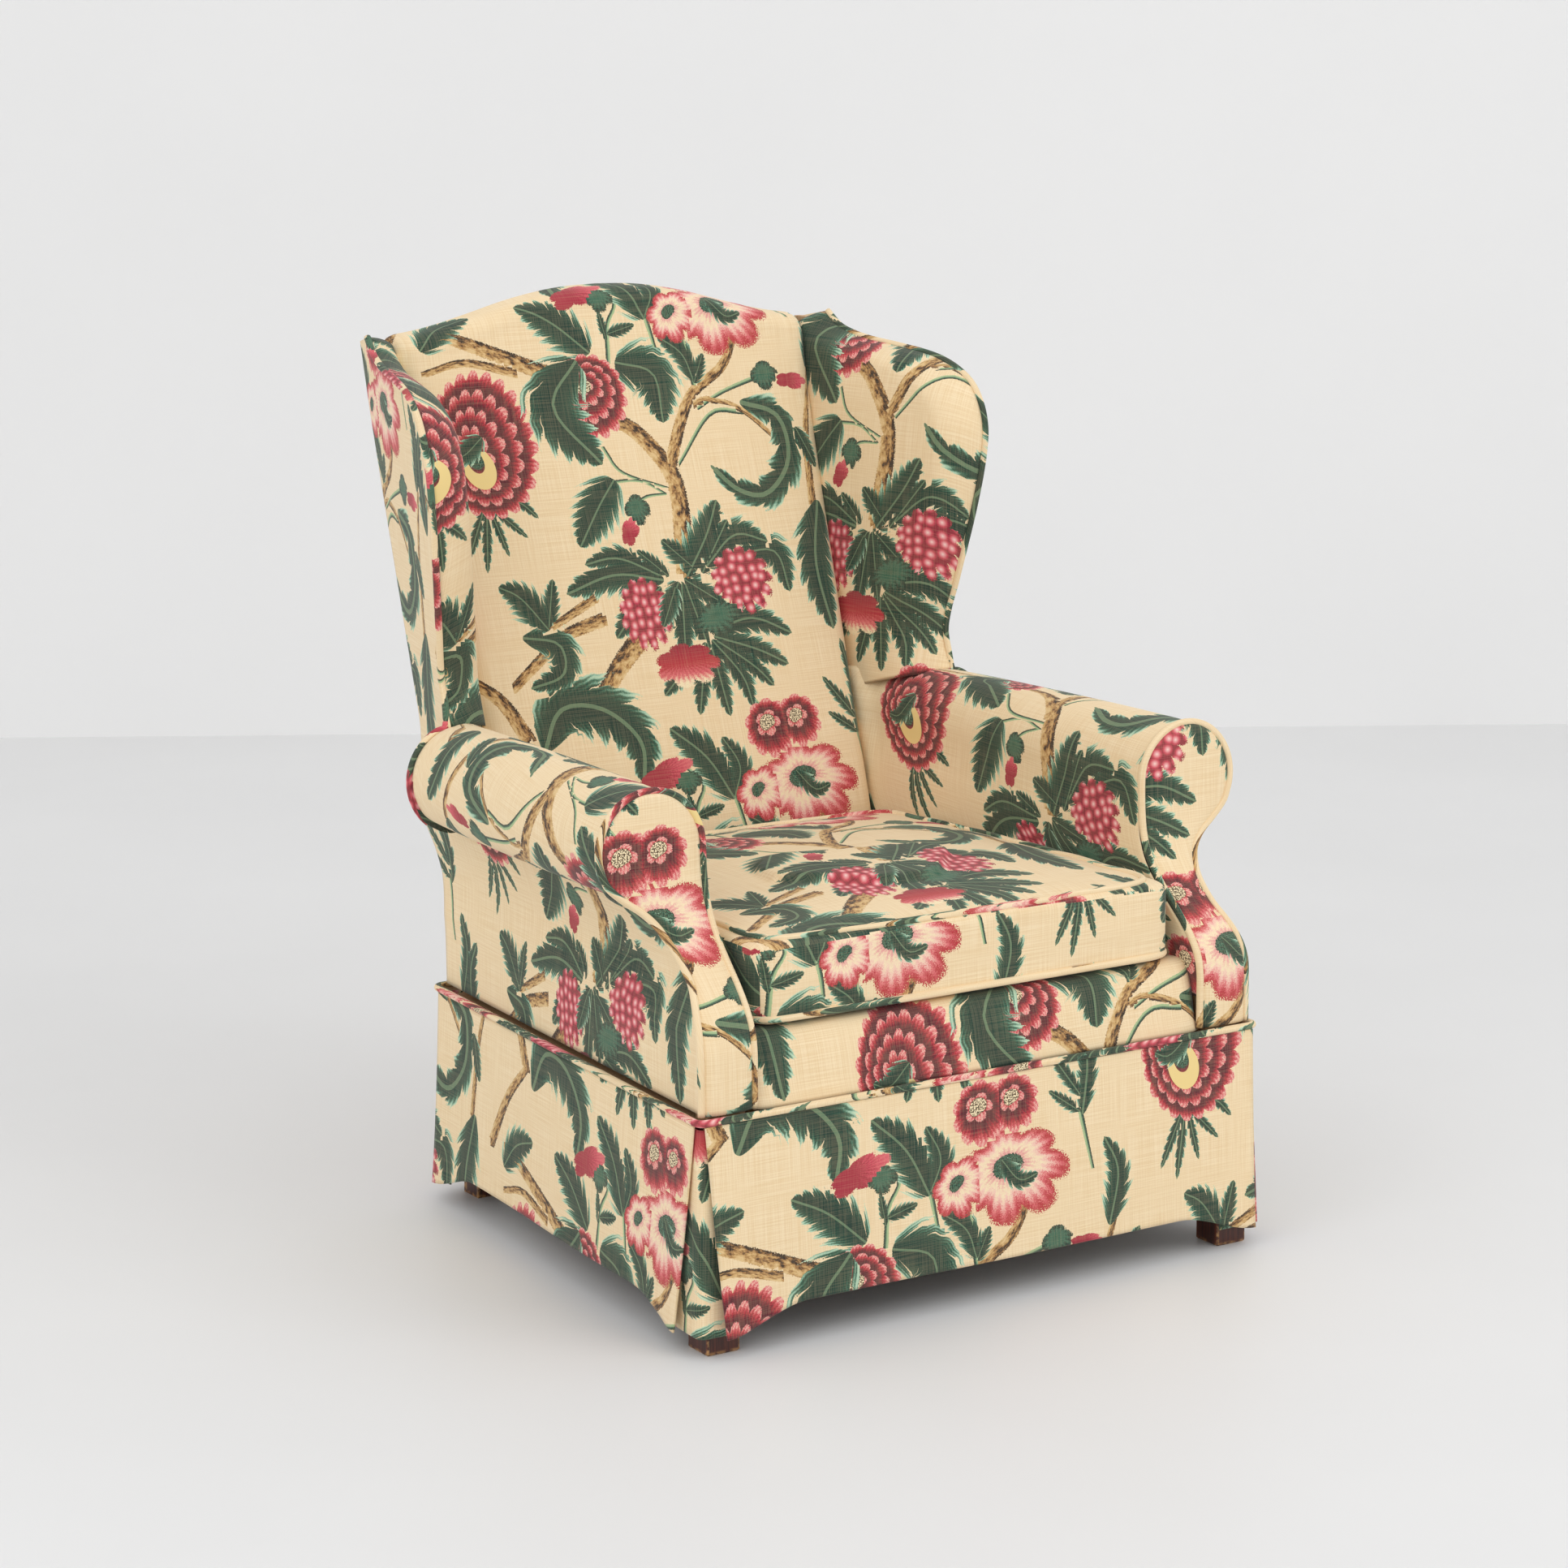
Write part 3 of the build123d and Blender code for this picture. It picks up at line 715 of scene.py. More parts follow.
def cushion_start(shrink):
    """The cushion before it swells: a tapered box with rounded upright corners."""
    bm = bmesh.new()
    bmesh.ops.create_cube(bm, size=1.0)
    for vert in bm.verts:
        y = cushion_front + shrink if vert.co.y < 0 else cushion_rear - shrink
        x = math.copysign(cushion_side(y) - shrink, vert.co.x)
        z = cushion_low.z + 0.004 if vert.co.z < 0 else cushion_high.z - 0.014
        vert.co = (x, y, z)
    upright = [e for e in bm.edges if abs(e.verts[0].co.z - e.verts[1].co.z) > 0.01]
    front = [e for e in upright if e.verts[0].co.y < 0]
    rear = [e for e in upright if e.verts[0].co.y > 0]
    bmesh.ops.bevel(bm, geom=front, offset=0.034, segments=8, affect="EDGES", profile=0.5, material=-1)
    bmesh.ops.bevel(bm, geom=rear, offset=0.014, segments=4, affect="EDGES", profile=0.5, material=-1)
    flat = [e for e in bm.edges if len(e.link_faces) == 2 and
            abs(e.link_faces[0].normal.z) != abs(e.link_faces[1].normal.z) and
            max(abs(f.normal.z) for f in e.link_faces) > 0.9
            and min(abs(f.normal.z) for f in e.link_faces) < 0.1]
    bmesh.ops.bevel(bm, geom=flat, offset=0.007, segments=3, affect="EDGES", profile=0.5, material=-1)
    bmesh.ops.recalc_face_normals(bm, faces=bm.faces)
    return bm


def swell(piece, voxel, pressure, cap):
    """Even quads, a short pressure simulation, and a cap on how far each point may move."""
    remesh = piece.modifiers.new("even quads", "REMESH")
    remesh.mode = "VOXEL"
    remesh.voxel_size = voxel
    apply_all(piece)
    start = np.array([v.co[:] for v in piece.data.vertices])
    cloth = piece.modifiers.new("swell", "CLOTH")
    cloth.settings.use_pressure = True
    cloth.settings.uniform_pressure_force = pressure
    cloth.settings.effector_weights.gravity = 0
    cloth.settings.tension_stiffness = 40
    cloth.settings.compression_stiffness = 40
    cloth.settings.bending_stiffness = 6
    cloth.point_cache.frame_start = 1
    cloth.point_cache.frame_end = 20
    for step in range(1, 21):
        bpy.context.scene.frame_set(step)
    apply_all(piece)
    bpy.context.scene.frame_set(1)
    end = np.array([v.co[:] for v in piece.data.vertices])
    move = end - start
    far = np.linalg.norm(move, axis=1, keepdims=True)
    # The foam is firm: the cover may swell out to the cap, but may come in only 3 mm
    out = (move * (start - start.mean(0)) * (1, 1, 0)).sum(1, keepdims=True) > 0
    end = start + move * np.minimum(1, np.where(out, cap, 0.003) / np.maximum(far, 1e-9))
    piece.data.vertices.foreach_set("co", end.ravel())
    piece.data.update()
    return float(far.max())


cushion = keep("cushion_cloth", cushion_start(0.004))
print("cushion moved", round(swell(cushion, 0.006, 4.0, 0.022), 4))


def settle(piece):
    """Keeps the swollen cushion between the arms and on the platform, crowned only upwards."""
    top_z = cushion_high.z
    for vert in piece.data.vertices:
        x, y, z = vert.co
        limit = cushion_side(y) + 0.004
        share = min(abs(x) / limit, 1.0)
        depth = min(max((y - cushion_front) / (cushion_rear - cushion_front), 0), 1)
        crown = 0.020 * (1 - share ** 2.4) * (1 - (2 * depth - 1) ** 2 * 0.9) if z > top_z - 0.03 else 0
        vert.co.x = math.copysign(min(abs(x), limit), x)
        vert.co.y = min(max(y, cushion_front - 0.010), cushion_rear + 0.001)
        vert.co.z = max(min(z, top_z - 0.002) + crown, cushion_low.z + 0.0005)
    piece.data.update()


settle(cushion)
subdivide = cushion.modifiers.new("smooth", "SUBSURF")
subdivide.levels = 1
subdivide.render_levels = 1
apply_all(cushion)
cushion.data.shade_smooth()
print("cushion box", [round(v, 3) for v in cushion.dimensions])


# %% Cushion cloth coordinates
boxing_right = 0.220
boxing_up = 0.545


def mark_cushion(piece):
    """The top and bottom are read from above, and the boxing is read round the cushion."""
    mesh = piece.data
    cloth = mesh.uv_layers.new(name="cloth")
    for face in mesh.polygons:
        normal = face.normal
        for index in face.loop_indices:
            x, y, z = mesh.vertices[mesh.loops[index].vertex_index].co
            down = boxing_up + cushion_front - (cushion_high.z - z)
            if abs(normal.z) > 0.62:
                place = (x, y)
            elif abs(normal.y) >= abs(normal.x):
                place = (x + boxing_right, down)
            else:
                place = (math.copysign(cushion_half + y - cushion_front, x) + boxing_right, down)
            cloth.data[index].uv = place


mark_cushion(cushion)

# %% [markdown]
# ## Piping
# Piping is a strip of the same cloth, cut on the bias and sewn round a cord. It covers the seams of the
# facings, the wings, the cushion and the top of the skirt. Each run is a tube on a path that lies on the
# seam, and it takes its own part of the print, so it shows dark and light patches as the real one does.

# %% Piping round the facings, the wings and the skirt
cord = 0.0042
path = []
for z in np.linspace(panel_bottom, scroll_z, 40)[:-1]:
    inner, outer = facing_sides(z)
    path.append((inner - 0.0015 - narrowing(arm_front(z), z), arm_front(z) - 0.0005, z))
for turn in np.linspace(180, -42, 54):
    x = front_half + (scroll_radius + 0.0015) * math.cos(math.radians(turn))
    z = scroll_z + (scroll_radius + 0.0015) * math.sin(math.radians(turn))
    path.append((x - narrowing(arm_front(z), z), arm_front(z) - 0.0005, z))
for z in np.linspace(0.478, panel_bottom, 46):
    inner, outer = facing_sides(z)
    path.append((outer + 0.0015 - narrowing(arm_front(z), z), arm_front(z) - 0.0005, z))
facing_piping = tube("facing_piping_right_cord",
                     fair_path([tuple(map(float, p)) for p in path[::3]], 150), cord)
other_side(facing_piping, "facing_piping_left_cord")

path = []
roll_y = roll_end + 0.003
for turn in np.linspace(-50, 76, 16):
    x = front_half - narrowing(roll_y, scroll_z) + (scroll_radius + 0.001) * math.cos(math.radians(turn))
    path.append((x, roll_y, scroll_z + (scroll_radius + 0.001) * math.sin(math.radians(turn))))
for y, z in wing_path[4::5]:
    path.append((wing_x(y, z) - 0.001, y, z))
wing_piping = tube("wing_piping_right_cord", fair_path([tuple(map(float, p)) for p in path], 170), cord)
other_side(wing_piping, "wing_piping_left_cord")

ring_out = 0.0105
ring = []
for sign_x, sign_y in ((-1, -1), (1, -1), (1, 1), (-1, 1)):
    half = front_half if sign_y < 0 else rear_half
    y = base_front if sign_y < 0 else base_rear
    corner = Vector((sign_x * (half + ring_out), y + sign_y * ring_out, skirt_line))
    ring.append(corner)
path = []
for k in range(4):
    here, after, before = ring[k], ring[(k + 1) % 4], ring[k - 1]
    soft = 0.012
    start = here + (before - here).normalized() * soft
    end = here + (after - here).normalized() * soft
    for t in np.linspace(0, 1, 7):
        path.append((1 - t) ** 2 * start + 2 * t * (1 - t) * here + t * t * end)
    stop = after + (here - after).normalized() * soft
    path += [end.lerp(stop, t) for t in np.linspace(0, 1, 60)[1:-1]]
skirt_piping = tube("skirt_piping_cord", path, cord, closed=True)
print("piping", [len(everything[n].data.polygons) for n in everything if n.endswith("cord")])

# %% Piping round the cushion
from mathutils.bvhtree import BVHTree


def cushion_ring(name, height):
    """Piping that lies on the edge of the cushion at a height."""
    bm = bmesh.new()
    bm.from_mesh(cushion.data)
    tree = BVHTree.FromBMesh(bm)
    bm.free()
    middle = Vector((0, (cushion_front + cushion_rear) / 2, height))
    path = []
    for turn in np.linspace(0, 2 * math.pi, 260, endpoint=False):
        way = Vector((math.cos(turn), math.sin(turn), 0))
        # A box outline has more of its length near the corners, so the rays are spread by its shape
        aim = Vector((way.x * cushion_half * 1.5, way.y * 0.40, 0)).normalized()
        hit = tree.ray_cast(middle, aim)[0]
        path.append(hit + aim * 0.0012)
    path = np.array(path)
    for repeat in range(3):
        path = (np.roll(path, 1, 0) + path * 2 + np.roll(path, -1, 0)) / 4
    return tube(name, path, cord, closed=True)


top_ring = cushion_ring("cushion_piping_top_cord", cushion_high.z - 0.010)
bottom_ring = cushion_ring("cushion_piping_bottom_cord", cushion_low.z + 0.011)

# %% [markdown]
# ## The printed linen
# The print is a tree pattern: branches with big leaves, carnations and berries. The leaves and flowers are
# stamps on a repeat measured in millimetres of cloth. For every face the nearest stamp is found and the
# face's corners are given their place in that stamp's own coordinates: along and across a leaf, or across a
# flower's width. The material then draws crisp edges from those coordinates, whatever the mesh's fineness.

# %% Stamps of the print, in millimetres of cloth
repeat_high = 603
repeat_wide = 608
repeat_drop = 260
leaf_marks = [  # spine from base to tip, then half the width as a share of the length
    ([(-267, 690), (-235, 722), (-190, 737)], 0.30), ([(-38, 676), (-85, 716), (-131, 739)], 0.30),
    ([(-5, 663), (47, 645), (50, 584)], 0.36), ([(-34, 518), (-62, 486), (-98, 438)], 0.36),
    ([(104, 634), (92, 668), (60, 692)], 0.26), ([(104, 631), (123, 667)], 0.32),
    ([(168, 603), (222, 582), (226, 526), (184, 485), (141, 492), (106, 526)], 0.105),
    ([(-161, 340), (-190, 382), (-216, 398)], 0.34), ([(-161, 343), (-144, 402)], 0.24),
    ([(-197, 334), (-152, 322), (-153, 285), (-198, 272)], 0.20),
    ([(-195, 195), (-165, 243), (-110, 238), (-68, 194), (-74, 142)], 0.20),
    ([(46, 111), (18, 165), (-26, 206)], 0.28), ([(47, 114), (62, 150), (44, 188)], 0.28),
    ([(258, 470), (236, 389), (243, 305)], 0.22), ([(253, 169), (262, 230), (250, 292)], 0.14),
    ([(252, 190), (210, 247)], 0.16), ([(251, 172), (208, 202)], 0.18), ([(246, 566), (268, 512)], 0.26),
    ([(-10, 698), (30, 708)], 0.26), ([(-12, 690), (-18, 728)], 0.2),
    ([(6, 388), (-60, 400), (-129, 382)], 0.22), ([(6, 392), (-50, 420), (-97, 416)], 0.2),
    ([(14, 392), (-23, 428)], 0.26), ([(0, 380), (-50, 345), (-74, 322)], 0.26),
    ([(55, 396), (14, 438)], 0.36), ([(40, 390), (80, 440), (104, 482)], 0.30),
    ([(62, 392), (114, 456)], 0.26),
    ([(70, 400), (120, 436), (168, 424)], 0.28), ([(120, 412), (176, 410), (186, 358)], 0.26),
    ([(60, 318), (120, 330), (176, 306)], 0.20), ([(60, 312), (120, 290), (162, 268)], 0.20),
    ([(58, 310), (110, 270), (134, 243)], 0.20), ([(56, 308), (90, 260), (98, 220)], 0.20),
    ([(53, 305), (62, 212)], 0.20), ([(46, 306), (20, 218)], 0.20), ([(40, 302), (-24, 246)], 0.24),
    ([(26, 384), (-14, 322)], 0.30), ([(30, 384), (15, 292)], 0.26), ([(34, 384), (50, 296)], 0.26),
    ([(34, 387), (88, 348)], 0.28),
    ([(-204, 500), (-170, 500), (-146, 478)], 0.15), ([(-206, 496), (-165, 455)], 0.13),
    ([(-208, 494), (-194, 434)], 0.12), ([(-212, 494), (-226, 416)], 0.11),
    ([(-216, 494), (-248, 432)], 0.12),
    ([(-290, 250), (-300, 330), (-280, 372)], 0.2), ([(286, 640), (300, 700), (282, 742)], 0.2)]
over_marks = [([(-58, 668), (-99, 612), (-46, 538)], 0.30), ([(-202, 582), (-232, 560), (-252, 566)], 0.30),
              ([(142, 738), (165, 712), (190, 716)], 0.24), ([(20, 378), (-8, 330)], 0.30)]
branch_marks = [  # path, then half the width in millimetres: wide ones are bark, narrow ones are stems
    ([(40, 400), (51, 483), (45, 526), (12, 572), (-16, 592)], 13),
    ([(-80, 646), (-175, 684), (-258, 716)], 10),
    ([(-146, 658), (-211, 673), (-262, 663)], 5.5),
    ([(49, 531), (75, 584), (101, 620), (150, 650), (175, 690)], 8),
    ([(98, 604), (123, 609), (169, 593), (206, 560)], 4.5), ([(-30, 330), (-81, 284), (-120, 236)], 13),
    ([(-90, 346), (-141, 332), (-173, 310), (-216, 277)], 8), ([(-96, 372), (-155, 344)], 6),
    ([(-214, 213), (-240, 262), (-290, 300)], 9), ([(-300, 110), (-262, 170), (-214, 215)], 8),
    ([(250, 470), (262, 560), (290, 640)], 5.5),
    ([(-39, 555), (-21, 526), (36, 503)], 2.2), ([(-41, 515), (1, 514), (34, 495)], 2.2),
    ([(-8, 487), (8, 494), (34, 495)], 2.2), ([(-13, 669), (-8, 709), (7, 735), (-10, 756)], 3),
    ([(204, 634), (143, 617), (106, 600)], 3), ([(169, 590), (120, 591), (62, 532)], 3),
    ([(112, 214), (90, 245)], 2.2), ([(226, 570), (262, 555)], 2.2), ([(47, 116), (54, 78)], 3.4),
    ([(103, 631), (96, 694)], 3), ([(251, 170), (264, 110)], 3)]
bloom_marks = [  # place, turn in degrees, half width, half height, kind
    (88, 716, 20, 40, 34, 1), (158, 718, 0, 76, 56, 1), (-46, 622, 0, 52, 54, 2), (-200, 572, 90, 92, 72, 3),
    (117, 191, 0, 38, 38, 4), (161, 196, 0, 34, 34, 4), (254, 625, -6, 26, 11, 6), (213, 634, 0, 22, 19, 7),
    (-26, 452, 65, 20, 12, 6), (-10, 478, 0, 18, 20, 7), (-42, 752, 20, 42, 18, 6), (-14, 742, 0, 20, 17, 7),
    (-28, 348, 0, 36, 47, 5), (118, 378, 0, 46, 44, 5), (16, 280, 0, 46, 28, 8), (72, 334, 15, 36, 22, 7)]
print("stamps", len(leaf_marks) + len(over_marks) + len(branch_marks) + len(bloom_marks))


# %% Every face gets its place in the nearest stamp
def along_path(points, path):
    """For each point: length along a path, and signed distance from it, both in mm, and the path's length."""
    best = np.full(len(points), 1e9)
    along = np.zeros(len(points))
    aside = np.zeros(len(points))
    gone = 0.0
    last = len(path) - 2
    for k, (a, b) in enumerate(zip(path, path[1:])):
        step = b - a
        size = np.linalg.norm(step)
        step = step / size
        rel = points - a
        t = rel @ step
        low = -1e9 if k == 0 else 0
        high = 1e9 if k == last else size
        clipped = np.clip(t, low, high)
        off = rel - clipped[:, None] * step
        far = np.linalg.norm(off, axis=1)
        side = step[0] * rel[:, 1] - step[1] * rel[:, 0]
        near = far < best
        best[near] = far[near]
        along[near] = (gone + clipped)[near]
        aside[near] = (np.sign(side) * far)[near]
        gone += size
    return along, aside, gone


def repeats(low, high, middle, reach):
    """The shifts of the repeat that bring a stamp within reach of a box of cloth."""
    for i in range(math.floor((low[0] - 420) / repeat_wide), math.ceil((high[0] + 420) / repeat_wide) + 1):
        for j in range(math.floor((low[1] - 900) / repeat_high),
                       math.ceil((high[1] + 420) / repeat_high) + 1):
            shift = np.array([i * repeat_wide, j * repeat_high + (i % 2) * repeat_drop])
            place = middle + shift
            if (place > low - reach).all() and (place < high + reach).all():
                yield shift


def stamp_layer(corners, centres, starts, totals, marks, local, code):
    """The corners' places in the nearest mark, and each face's code, or nothing where none is near."""
    best = np.full(len(centres), 1.0)
    found = np.zeros((len(corners), 3))
    low, high = corners.min(0), corners.max(0)
    for mark in marks:
        spread = np.array(mark[0]) if isinstance(mark[0], list) else np.array([mark[:2]])
        middle = spread.mean(0)
        reach = np.linalg.norm(spread - middle, axis=1).max() * 1.15 + 30
        reach += 0 if isinstance(mark[0], list) else max(mark[3:5])
        for shift in repeats(low, high, middle, reach):
            near = np.flatnonzero(np.linalg.norm(centres - middle - shift, axis=1) < reach)
            if not len(near):
                continue
            rate = local(centres[near] - shift, mark)[1]
            better = rate < best[near]
            chosen = near[better]
            if not len(chosen):
                continue
            best[chosen] = rate[better]
            mine = (starts[chosen][:, None] + np.arange(4))[np.arange(4) < totals[chosen][:, None]]
            place = local(corners[mine] - shift, mark)[0]
            found[mine, :2] = place
            found[mine, 2] = code(mark)
    return found


def leaf_local(points, mark):
    path = fair_path(mark[0], 3 * len(mark[0]) + 2)
    along, aside, length = along_path(points, path)
    t, across = along / length, aside / length
    over = np.maximum(np.maximum(-t, t - 1), 0) * length / 8
    return np.stack([t, across], 1), np.abs(across) / mark[1] * 0.72 + over * 0.4


def branch_local(points, mark):
    path = fair_path(mark[0], 3 * len(mark[0]) + 2)
    along, aside, length = along_path(points, path)
    t = np.clip(along / length, 0, 1)
    half = mark[1] * (1.12 - 0.35 * t)
    over = np.maximum(np.maximum(-along, along - length), 0)
    return np.stack([along, aside / half], 1), (np.abs(aside) + over * 2) / (half + 9)


def bloom_local(points, mark):
    x, y, turn, wide, high, kind = mark
    c, s = math.cos(math.radians(turn)), math.sin(math.radians(turn))
    rel = points - (x, y)
    place = np.stack([(rel @ (c, s)) / wide, (rel @ (-s, c)) / high], 1)
    return place, np.linalg.norm(place, axis=1) / (1 + 9 / min(wide, high))


def print_cloth(piece, right, up, turn=0):
    """Writes where each corner of the piece lies in the print: how far right and up in mm, and its turn."""
    mesh = piece.data
    cloth = np.zeros(len(mesh.loops) * 2)
    mesh.uv_layers["cloth"].data.foreach_get("uv", cloth)
    c, s = math.cos(math.radians(turn)), math.sin(math.radians(turn))
    corners = cloth.reshape(-1, 2) / mm @ np.array([[c, s], [-s, c]]) + (right, up)
    starts = np.zeros(len(mesh.polygons), int)
    totals = np.zeros(len(mesh.polygons), int)
    mesh.polygons.foreach_get("loop_start", starts)
    mesh.polygons.foreach_get("loop_total", totals)
    centres = np.add.reduceat(corners, starts, axis=0) / totals[:, None]
    layers = {"branch": (branch_marks, branch_local, lambda m: 1.0 if m[1] > 4 else 2.0),
              "leaf": (leaf_marks, leaf_local, lambda m: m[1]),
              "bloom": (bloom_marks, bloom_local, lambda m: m[5] / 10),
              "over": (over_marks, leaf_local, lambda m: m[1])}
    for name, (marks, local, code) in layers.items():
        found = stamp_layer(corners, centres, starts, totals, marks, local, code)
        layer = mesh.attributes.new(name, "FLOAT_VECTOR", "CORNER")
        layer.data.foreach_set("vector", found.astype(np.float32).ravel())


# Where each cover lies on the print: mm to the right and up, and degrees of turn
print_places = {
    "inside_back_cover": (0, -11), "cushion_cloth": (30, 611), "inside_wing_right_cover": (272, -374),
    "inside_wing_left_cover": (-305, -355), "inside_arm_right_cover": (116, 157, -21),
    "inside_arm_left_cover": (-91, 100), "arm_facing_right_cover": (-190, 33),
    "arm_facing_left_cover": (508, -100), "outside_arm_right_cover": (40, 20),
    "outside_wing_right_cover": (40, 20),
    "outside_arm_left_cover": (-122, 42), "outside_wing_left_cover": (-122, 42),
    "outside_back_cover": (0, 100),
    "front_border_cover": (-108, 560), "skirt_front_cloth": (135, 833), "skirt_right_cloth": (100, 300),
    "skirt_left_cloth": (-131, 250), "skirt_back_cloth": (0, 233)}
for number, (name, piece) in enumerate(everything.items()):
    print_cloth(piece, *print_places.get(name, (97 * number, 61 * number)))
print("printed", len(everything), "pieces")

# %% [markdown]
# ## Materials
# One function adds a node, sets it and links it. Everything is built from it, so each material reads from
# top to bottom: coordinates, pattern, colour, surface.


# %% Adding nodes
def linear(hex_colour):
    """An sRGB hex colour as linear RGBA."""
    parts = [int(hex_colour[k:k + 2], 16) / 255 for k in (1, 3, 5)]
    return [p / 12.92 if p <= 0.04045 else ((p + 0.055) / 1.055) ** 2.4 for p in parts] + [1.0]


def add(tree, kind, *values, stops=None, output=0, **settings):
    """Adds a node. A kind in capitals is a Math operation. Values and links go to its sockets in order."""
    node = tree.nodes.new("ShaderNodeMath" if kind.isupper() else "ShaderNode" + kind)
    if kind.isupper():
        node.operation = kind
    for key, value in settings.items():
        setattr(node, key, value)
    for socket, value in zip([socket for socket in node.inputs if socket.enabled], values):
        if isinstance(value, bpy.types.NodeSocket):
            tree.links.new(value, socket)
        elif value is not None:
            socket.default_value = value
    if stops:
        marks = node.color_ramp.elements
        while len(marks) < len(stops):
            marks.new(0.5)
        for mark, (place, colour) in zip(marks, stops):
            mark.position = place
        for mark, (place, colour) in zip(marks, stops):
            mark.color = linear(colour) if isinstance(colour, str) else [*colour, 1.0]
    return node.outputs[output] if isinstance(output, int) else node


def new_material(name):
    """An empty node material, with its Principled shader and tree."""
    material = bpy.data.materials.new(name)
    material.use_nodes = True
    return material, material.node_tree, material.node_tree.nodes["Principled BSDF"]


def raise_surface(tree, shader, height, *settings):
    """Makes a pattern stand out on a surface. The settings are the bump's strength, distance and filter."""
    bump = add(tree, "Bump", *settings, output=None)
    tree.links.new(height, bump.inputs["Height"])
    tree.links.new(bump.outputs["Normal"], shader.inputs["Normal"])


# %% The print's colours and marks
ground, slub, dark, mid, mint = "#F4DEB8", "#E9CDA0", "#14362B", "#3F6E57", "#98C2A8"
red, maroon, pink, cream = "#B82B38", "#5A1A26", "#DD6A70", "#F6E4BC"
tan, brown, umber = "#C79E62", "#9C7040", "#3E2719"


def paint_leaves(tree, layer, under, rough):
    """Lobed leaves: a dark side and a light side, strokes to the tips, and a pale midrib."""
    put = partial(add, tree)
    split = put("SeparateXYZ", put("Attribute", attribute_name=layer, output=1), output=None)
    t, across, width = split.outputs[:3]
    off = put("ABSOLUTE", across)
    belly = put("SINE", put("MULTIPLY", put("POWER", put("MINIMUM", put("MAXIMUM", t, 0.0), 1.0), 0.8),
                            math.pi))
    full = put("MULTIPLY", put("POWER", belly, 0.60), width)
    slant = put("MULTIPLY_ADD", off, -8.0, put("MULTIPLY_ADD", t, 6.0, 0.2))
    lobe = put("POWER", put("MULTIPLY", put("PINGPONG", slant, 0.5), 2.0), 0.7)
    tooth = put("PINGPONG", put("MULTIPLY", slant, 5.0), 0.5)
    edge = put("MULTIPLY_ADD", tooth, 0.20, put("MULTIPLY_ADD", lobe, 0.52, 0.40))
    edge = put("MULTIPLY", edge, put("MULTIPLY_ADD", rough, 0.30, 0.87))
    half = put("MULTIPLY", full, edge)
    inside = put("GREATER_THAN", half, off)
    share = put("DIVIDE", off, put("MAXIMUM", full, 0.002))
    stroke = put("SINE", put("MULTIPLY", slant, 2 * math.pi * 4))
    side = put("MULTIPLY", put("GREATER_THAN", across, 0.0), 0.13)
    tone = put("MULTIPLY_ADD", put("POWER", share, 2.2), 1.0, side)
    tone = put("ADD", tone, put("MULTIPLY_ADD", put("MULTIPLY", stroke, share), 0.20, -0.04))
    tone = put("ADD", tone, put("MULTIPLY_ADD", rough, 0.30, -0.15))
    colour = put("ValToRGB", tone,
                 stops=[(0.0, dark), (0.26, "#1B4636"), (0.46, mid), (0.68, mint), (0.95, "#C6DCBC")])
    rib = put("MULTIPLY", put("LESS_THAN", off, 0.011), 0.5)
    colour = put("MixRGB", rib, colour, linear("#86A47C"))
    return put("MixRGB", inside, under, colour)


def paint_branches(tree, under, rough):
    """Bark with long dark strokes on its shaded side, and thin green stems."""
    put = partial(add, tree)
    split = put("SeparateXYZ", put("Attribute", attribute_name="branch", output=1), output=None)
    along, across, code = split.outputs[:3]
    edge = put("LESS_THAN", put("ABSOLUTE", across), put("MULTIPLY_ADD", rough, 0.5, 0.70))
    inside = put("MULTIPLY", edge, put("GREATER_THAN", code, 0.5))
    place = put("CombineXYZ", put("MULTIPLY", along, 0.075), put("MULTIPLY", across, 1.7), code)
    grain = put("TexNoise", place, 1.0, 3.0, 0.7, noise_dimensions="2D")
    shade = put("MULTIPLY_ADD", across, -0.36, put("MULTIPLY_ADD", grain, 2.1, -0.55))
    bark = put("ValToRGB", shade,
               stops=[(0.0, "#E0C08A"), (0.36, tan), (0.58, brown), (0.80, umber), (1.0, "#241812")])
    stem = put("ValToRGB", put("ADD", across, 0.3), stops=[(0.0, "#A3BC8C"), (0.4, mid), (0.9, dark)])
    colour = put("MixRGB", put("GREATER_THAN", code, 1.5), bark, stem)
    return put("MixRGB", inside, under, colour)


